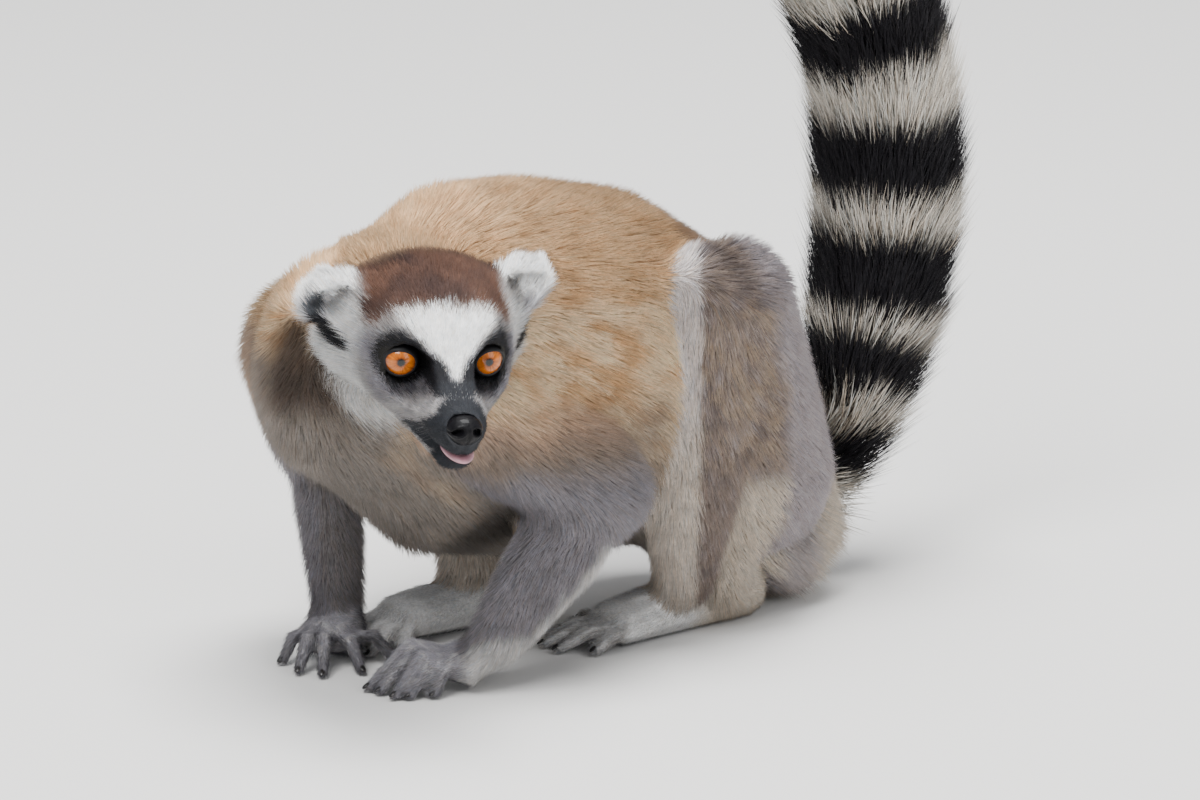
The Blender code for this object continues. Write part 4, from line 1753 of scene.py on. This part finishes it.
@dataclass(frozen=True)
class Iris:
    """The eye's finish: a dark pupil, a streaked amber iris and a dark rim, under a wet coat.

    Stops are its colours from the pupil's middle to the rim, and streaks how far they stray.
    """

    stops: tuple[tuple[float, str], ...] = (
        (0.0, "020202"), (0.175, "020202"), (0.205, "4A2608"), (0.3, "A3520F"), (0.52, "BA6517"),
        (0.72, "A65513"), (0.86, "6C340C"), (0.93, "2A170C"), (0.97, "0C0908"), (1.0, "0A0808"),
    )
    streaks: float = 0.05

    def material(self) -> bpy.types.Material:
        """Makes the material.

        Returns:
            The material.
        """
        nodes = Nodes("eye", Roughness=0.25, Specular_IOR_Level=0.0, Coat_Weight=1.0, Coat_Roughness=0.03)
        polar = nodes.attribute("polar").outputs["Fac"]
        streak = nodes.attribute("streak").outputs["Vector"]
        grain = nodes.add("ShaderNodeTexNoise", Scale=1.0, Detail=3.0)
        nodes.link(streak, grain.inputs["Vector"])
        shifted = nodes.add("ShaderNodeMath")
        shifted.operation = "MULTIPLY_ADD"
        nodes.link(grain.outputs["Fac"], shifted.inputs[0])
        shifted.inputs[1].default_value = self.streaks
        nodes.link(polar, shifted.inputs[2])
        ramp = nodes.ramp(tuple((place, linear(code)) for place, code in self.stops))
        nodes.link(shifted.outputs[0], ramp.inputs["Fac"])
        value = nodes.scaled(grain.outputs["Fac"], 0.55, 1.3)
        nodes.base(nodes.tinted(ramp.outputs["Color"], value))
        return nodes.material


FUR = Haired("fur", 0.62, 0.16, (420, 3), (0.86, 1.1))
HIDE = Haired("skin", 0.7, 0.25, (900, 4), (0.75, 1.12), (1300, 0.7, 0.0006))
DARK_SKIN = Bare("dark_skin", "0B0A0C", 0.5, 1500, 0.5, shine=0.25)
NAIL = Bare("nail", "1D1A1A", 0.3, 900, 0.15)
NOSE_SKIN = Bare("nose", "08070A", 0.42, 2100, 0.6, 0.0003, 0.1, 0.1)
TONGUE_SKIN = Bare("tongue", "A97B84", 0.38, 1800, 0.5, 0.0002, 0.4)


# The bare parts


@dataclass
class Shell:
    """A bare piece in the making: its points and faces, its finish and the name of a slot for it, which is
    not used.
    """

    name: str
    finish: Bare | Iris
    slot: str
    bm: bmesh.types.BMesh = field(default_factory=bmesh.new)

    def bridge(self, rings: list[list[bmesh.types.BMVert]]) -> None:
        """Joins each ring of points to the next with faces.

        Args:
            rings: The rings' points, ring by ring.
        """
        loops = [{edge for vert in ring for edge in vert.link_edges} for ring in rings]
        for near, far in zip(loops, loops[1:]):
            bmesh.ops.bridge_loops(self.bm, edges=list(near | far))

    def finished(self, matrix: Matrix | None = None) -> bpy.types.Object:
        """Makes the piece.

        Args:
            matrix: Takes its points to the world, where they aren't in world metres yet.

        Returns:
            The object, riding on the body.
        """
        if matrix:
            bmesh.ops.transform(self.bm, matrix=matrix, verts=self.bm.verts)
        bmesh.ops.recalc_face_normals(self.bm, faces=self.bm.faces)
        mesh = bpy.data.meshes.new(self.name)
        self.bm.to_mesh(mesh)
        self.bm.free()
        mesh.shade_smooth()
        mesh.materials.append(self.finish.material())
        obj = added(self.name, mesh)
        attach(obj, "root")
        log.info("%s: %d faces", self.name, len(mesh.polygons))
        return obj


@dataclass
class Eye:
    """One eye with its lids, by its side: 1 is left and -1 is right.

    Iris is its radius and wide and high are the opening's, all in degrees as seen from the
    eyeball's middle, bulge is the cornea's, and the gaze is how far the eyes turn and lift. Steps
    are the lids' rings, by degrees outside the opening and distance from the eyeball's middle.
    """

    places: Places
    sign: int
    radius: float = 7.8
    iris: float = 57.0
    bulge: float = 0.45
    wide: float = 51.0
    high: float = 40.5
    gaze_turn: tuple[float, float] = (-14.0, -1.0)
    gaze_lift: float = 9.0
    steps: tuple[tuple[float, float], ...] = (
        (-4, 7.4), (-1.5, 7.95), (0, 8.2), (2, 8.35), (5, 8.45), (10, 8.45), (17, 8.3), (26, 7.8),
    )

    def matrix(self, turn: float, lift: float = 0.0) -> Matrix:
        """Gives the world matrix of a frame in the eye whose Z axis looks out.

        Args:
            turn: How far it is turned to the animal's left, in degrees.
            lift: How far it is turned up, in degrees.

        Returns:
            The matrix.
        """
        forward, left, up = self.places.eye
        base = self.places.head_matrix((forward, self.sign * left, up))
        turned = Matrix.Rotation(math.radians(turn), 4, "Z") @ Matrix.Rotation(math.radians(-lift), 4, "Y")
        look = Matrix(((0, 0, 1, 0), (1, 0, 0, 0), (0, 1, 0, 0), (0, 0, 0, 1)))
        return base @ turned @ look

    def build(self) -> None:
        """Builds the eyeball and the lids."""
        name = "left" if self.sign > 0 else "right"
        self.build_ball(f"eyeball_{name}", f"eye_{name}")
        self.build_lids(f"eyelids_{name}")

    def build_ball(self, name: str, node: str) -> None:
        """Builds the eyeball, with a slightly raised cornea and a place for the iris's colours.

        Args:
            name: The piece's name.
            node: The solid that it replaces.
        """
        shell = Shell(name, Iris(), "eye")
        bmesh.ops.create_uvsphere(shell.bm, u_segments=72, v_segments=64, radius=self.radius)
        polar = shell.bm.verts.layers.float.new("polar")
        streak = shell.bm.verts.layers.float_vector.new("streak")
        for vert in shell.bm.verts:
            angle = math.degrees(vert.co.angle(Vector((0, 0, 1)), 0))
            around = math.atan2(vert.co.y, vert.co.x)
            share = min(angle / self.iris, 2.0)
            vert[polar] = share * 0.95
            vert[streak] = (math.cos(around) * 7, math.sin(around) * 7, share * 1.5)
            raised = max(0.0, 1 - (angle / self.iris) ** 2)
            vert.co *= 1 + self.bulge * raised / self.radius
        obj = shell.finished(self.matrix(self.gaze_turn[self.sign > 0], self.gaze_lift))
        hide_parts(node)

    def build_lids(self, name: str) -> None:
        """Builds the lids as one rolled ring that hugs the eyeball.

        Args:
            name: The piece's name.
        """
        shell = Shell(name, DARK_SKIN, "dark_coat")
        rings = []
        for extra, away in self.steps:
            ring = bmesh.ops.create_circle(shell.bm, segments=64, radius=1.0)["verts"]
            for vert in ring:
                angle = math.radians(self.opening(vert.co.x * self.sign, vert.co.y) + extra)
                flat = Vector((vert.co.x, vert.co.y, 0)).normalized()
                vert.co = (flat * math.sin(angle) + Vector((0, 0, math.cos(angle)))) * away
            rings.append(ring)
        shell.bridge(rings)
        shell.finished(self.matrix(self.sign * math.degrees(Face.eye_splay)))

    def opening(self, across: float, upward: float) -> float:
        """Gives the opening's radius in degrees on one side of its middle.

        Args:
            across: How far outward the side is, on a circle of radius 1.
            upward: How far upward it is.

        Returns:
            The radius.
        """
        corner = 1 + 0.05 * max(0.0, abs(across) - 0.7) / 0.3
        opening = math.hypot(self.wide * across * corner, self.high * upward)
        if upward > 0:
            opening -= 2.0 * max(0.0, across) * upward
        return opening


@dataclass
class Nose:
    """The bare nose pad. Nostril is one's place in it, by distance from its middle and height."""

    places: Places
    centre: Spot = (30.8, 0.0, -14.8)
    radii: Spot = (7.0, 7.6, 6.1)
    nostril: tuple[float, float] = (3.9, 1.6)

    def build(self) -> None:
        """Builds the pad from a fine sphere: a squared front, two nostrils and a groove."""
        shell = Shell("nose_pad", NOSE_SKIN, "nose")
        bmesh.ops.create_icosphere(shell.bm, subdivisions=6, radius=1.0)
        for vert in shell.bm.verts:
            x, y, z = vert.co
            forward = self.radii[0] * x * (1 - 0.08 * y * y)
            left = self.radii[1] * y * (1 + 0.08 * z)
            up = self.radii[2] * z * (1 + 0.06 * x)
            if x > 0:
                side = abs(left)
                low = up - self.nostril[1] + 0.35 * (side - 3)
                spot = math.hypot((side - self.nostril[0]) / 2.3, low / 1.7)
                slit = math.hypot((side - 6.4) / 2.2, (up - 0.2) / 0.8)
                forward -= 3.4 * max(0.0, 1 - spot**2) ** 0.7
                forward -= 1.3 * max(0.0, 1 - slit**2)
                forward += 0.35 * math.exp(-((spot - 1.35) ** 2) / 0.08)
                forward -= 0.7 * math.exp(-((left / 0.55) ** 2)) * max(0.0, min(1.0, (1.5 - up) / 3))
            vert.co = (forward, left, up)
        obj = shell.finished(self.places.head_matrix(self.centre))
        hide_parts("nose")


@dataclass
class Tongue:
    """The tongue, whose tip lies between the lips."""

    places: Places
    centre: Spot = (23.2, 1.2, -27.9)
    radii: Spot = (10.5, 6.6, 2.4)

    def build(self) -> None:
        """Builds the tongue from a fine sphere, grooved along its middle."""
        shell = Shell("tongue_tip", TONGUE_SKIN, "tongue")
        bmesh.ops.create_icosphere(shell.bm, subdivisions=5, radius=1.0)
        for vert in shell.bm.verts:
            x, y, z = vert.co
            forward = self.radii[0] * x
            groove = 0.5 * math.exp(-((y / 0.18) ** 2)) * max(0.0, z)
            up = self.radii[2] * z - 0.05 * max(0.0, forward) - groove
            vert.co = (forward, self.radii[1] * y * (1 - 0.12 * x), up)
        obj = shell.finished(self.places.head_matrix(self.centre))
        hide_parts("tongue")


@dataclass
class Nails:
    """The nails of one hand or foot. Ahead is how far past its digit's tip each has its middle."""

    places: Places
    paw: Paw
    length: float = 1.9
    width: float = 1.2
    thickness: float = 0.5
    ahead: float = 1.6

    def build(self, name: str) -> None:
        """Builds each nail as a small domed plate that points the way of its digit.

        Args:
            name: The piece's name.
        """
        shell = Shell(name, NAIL, "dark_coat")
        for root, tip in zip(self.paw.roots(), self.paw.tips):
            way = Vector((tip[0] - root[0], tip[1] - root[1], 0)).normalized()
            middle = Vector((*tip, self.paw.height)) + way * self.ahead
            across = way.cross(Vector((0, 0, 1)))
            down = (way * 0.8 - Vector((0, 0, 0.6))).normalized()
            lift = across.cross(down) * self.thickness
            axes = Matrix((down * self.length, across * self.width, lift)).transposed().to_4x4()
            matrix = Matrix.Translation(self.places.in_world(middle)) @ Matrix.Scale(MM, 4) @ axes
            bmesh.ops.create_uvsphere(shell.bm, u_segments=16, v_segments=10, radius=1.0, matrix=matrix)
        shell.finished()


@dataclass
class Whiskers:
    """The long stiff hairs of the lips and brows, by the places of their roots on the left."""

    places: Places
    roots: tuple[Spot, ...] = (
        (24, 9.5, -17), (22, 10.5, -19.5), (20, 11.2, -17.5), (18, 12, -20.5), (25.5, 8.5, -20),
        (21, 10.8, -22), (17, 12.4, -18), (-4, 14, 12.5), (-4.5, 17.5, 13),
    )
    radius: float = 0.13

    def build(self) -> None:
        """Builds each whisker as a thin cone that curves back."""
        shell = Shell("whiskers", NAIL, "black_coat")
        for sign in (1, -1):
            for number, (forward, left, up) in enumerate(self.roots):
                self.whisker(shell, Vector((forward, sign * left, up)), sign, number)
        shell.finished()

    def whisker(self, shell: Shell, root: Vector, sign: int, number: int) -> None:
        """Adds one whisker.

        Args:
            shell: The piece in the making.
            root: Its root in the head's frame.
            sign: 1 on the left, -1 on the right.
            number: Its place in the row, which varies its length.
        """
        length = 15 + 5 * ((number * 37) % 5) / 4
        if root.z > 0:
            way, bend = Vector((0.5, sign * 0.4, 0.8)), Vector((-0.3, sign * 0.3, 0.1))
        else:
            way, bend = Vector((0.3, sign, -0.15 - 0.05 * (number % 3))), Vector((-0.75, 0, -0.35))
        rings = []
        for step in range(5):
            share = step / 4
            place = root + way.normalized() * length * share + bend * length * 0.45 * share**2
            matrix = self.places.head_matrix(place)
            radius = self.radius * (1 - 0.8 * share)
            made = bmesh.ops.create_circle(
                shell.bm, cap_ends=step in (0, 4), segments=4, radius=radius, matrix=matrix
            )
            rings.append(made["verts"])
        shell.bridge(rings)


# The studio


@dataclass
class Studio:
    """The floor, the lights and the camera.

    Target is the drawn place that the camera looks at, from its azimuth, elevation and distance.
    Each light has its name, place, size and power.
    """

    places: Places
    target: Spot = (11.0, 0.0, 105.0)
    azimuth: float = math.radians(52)
    elevation: float = math.radians(15)
    distance: float = 3.0
    lens: float = 209.7
    lights: tuple[tuple[str, Spot, float, float], ...] = (
        ("key", (0.9, -1.9, 2.8), 1.5, 98.0),
        ("fill", (3.2, 0.4, 1.6), 2.2, 34.0),
        ("above", (0.1, 0.3, 3.0), 1.6, 165.0),
    )

    def build(self) -> None:
        """Builds the whole studio."""
        self.build_floor()
        self.build_lights()
        self.build_camera()

    def build_floor(self) -> None:
        """Builds the plain pale floor."""
        bm = bmesh.new()
        bmesh.ops.create_grid(bm, x_segments=1, y_segments=1, size=12.0)
        mesh = bpy.data.meshes.new("floor")
        bm.to_mesh(mesh)
        bm.free()
        floor = added("floor", mesh)
        mesh.materials.append(Nodes("floor", Roughness=0.9, Base_Color=(0.78, 0.77, 0.75, 1)).material)

    def build_lights(self) -> None:
        """Builds a broad key light, a fill, a light from above and a pale surround."""
        world = bpy.data.worlds.new("surround")
        bpy.context.scene.world = world
        world.use_nodes = True
        background = world.node_tree.nodes["Background"]
        background.inputs["Color"].default_value = (0.92, 0.95, 1.0, 1)
        background.inputs["Strength"].default_value = 0.55
        for name, place, size, power in self.lights:
            light = bpy.data.lights.new(name, "AREA")
            light.size = size
            light.energy = power
            obj = added(name, light)
            obj.location = place
            toward = Vector((0, 0, 0.15)) - Vector(place)
            obj.rotation_euler = toward.to_track_quat("-Z", "Y").to_euler()

    def build_camera(self) -> None:
        """Builds the camera on its long lens."""
        camera = bpy.data.cameras.new("camera")
        camera.lens = self.lens
        camera.sensor_width = 36.0
        camera.clip_end = 50.0
        obj = added("camera", camera)
        flat = math.cos(self.elevation)
        back = Vector(
            (flat * math.sin(self.azimuth), -flat * math.cos(self.azimuth), math.sin(self.elevation))
        )
        obj.location = self.places.in_world(self.target) + back * self.distance
        obj.rotation_euler = (-back).to_track_quat("-Z", "Y").to_euler()
        bpy.context.scene.camera = obj


def main() -> None:
    """Builds the lemur and its studio in order."""
    logging.basicConfig(level=logging.INFO, format="%(message)s")
    places = Places()
    skin = Skin(places)
    skin.build()
    skin.finish(HIDE.material())
    Coat(places, skin, 1.0).grow(FUR.material())
    for sign in (1, -1):
        Eye(places, sign).build()
    Nose(places).build()
    Tongue(places).build()
    for node, paw in PAWS.items():
        Nails(places, paw).build(f"nails_{node}")
    Whiskers(places).build()
    Studio(places).build()


if __name__ == "__main__":
    main()
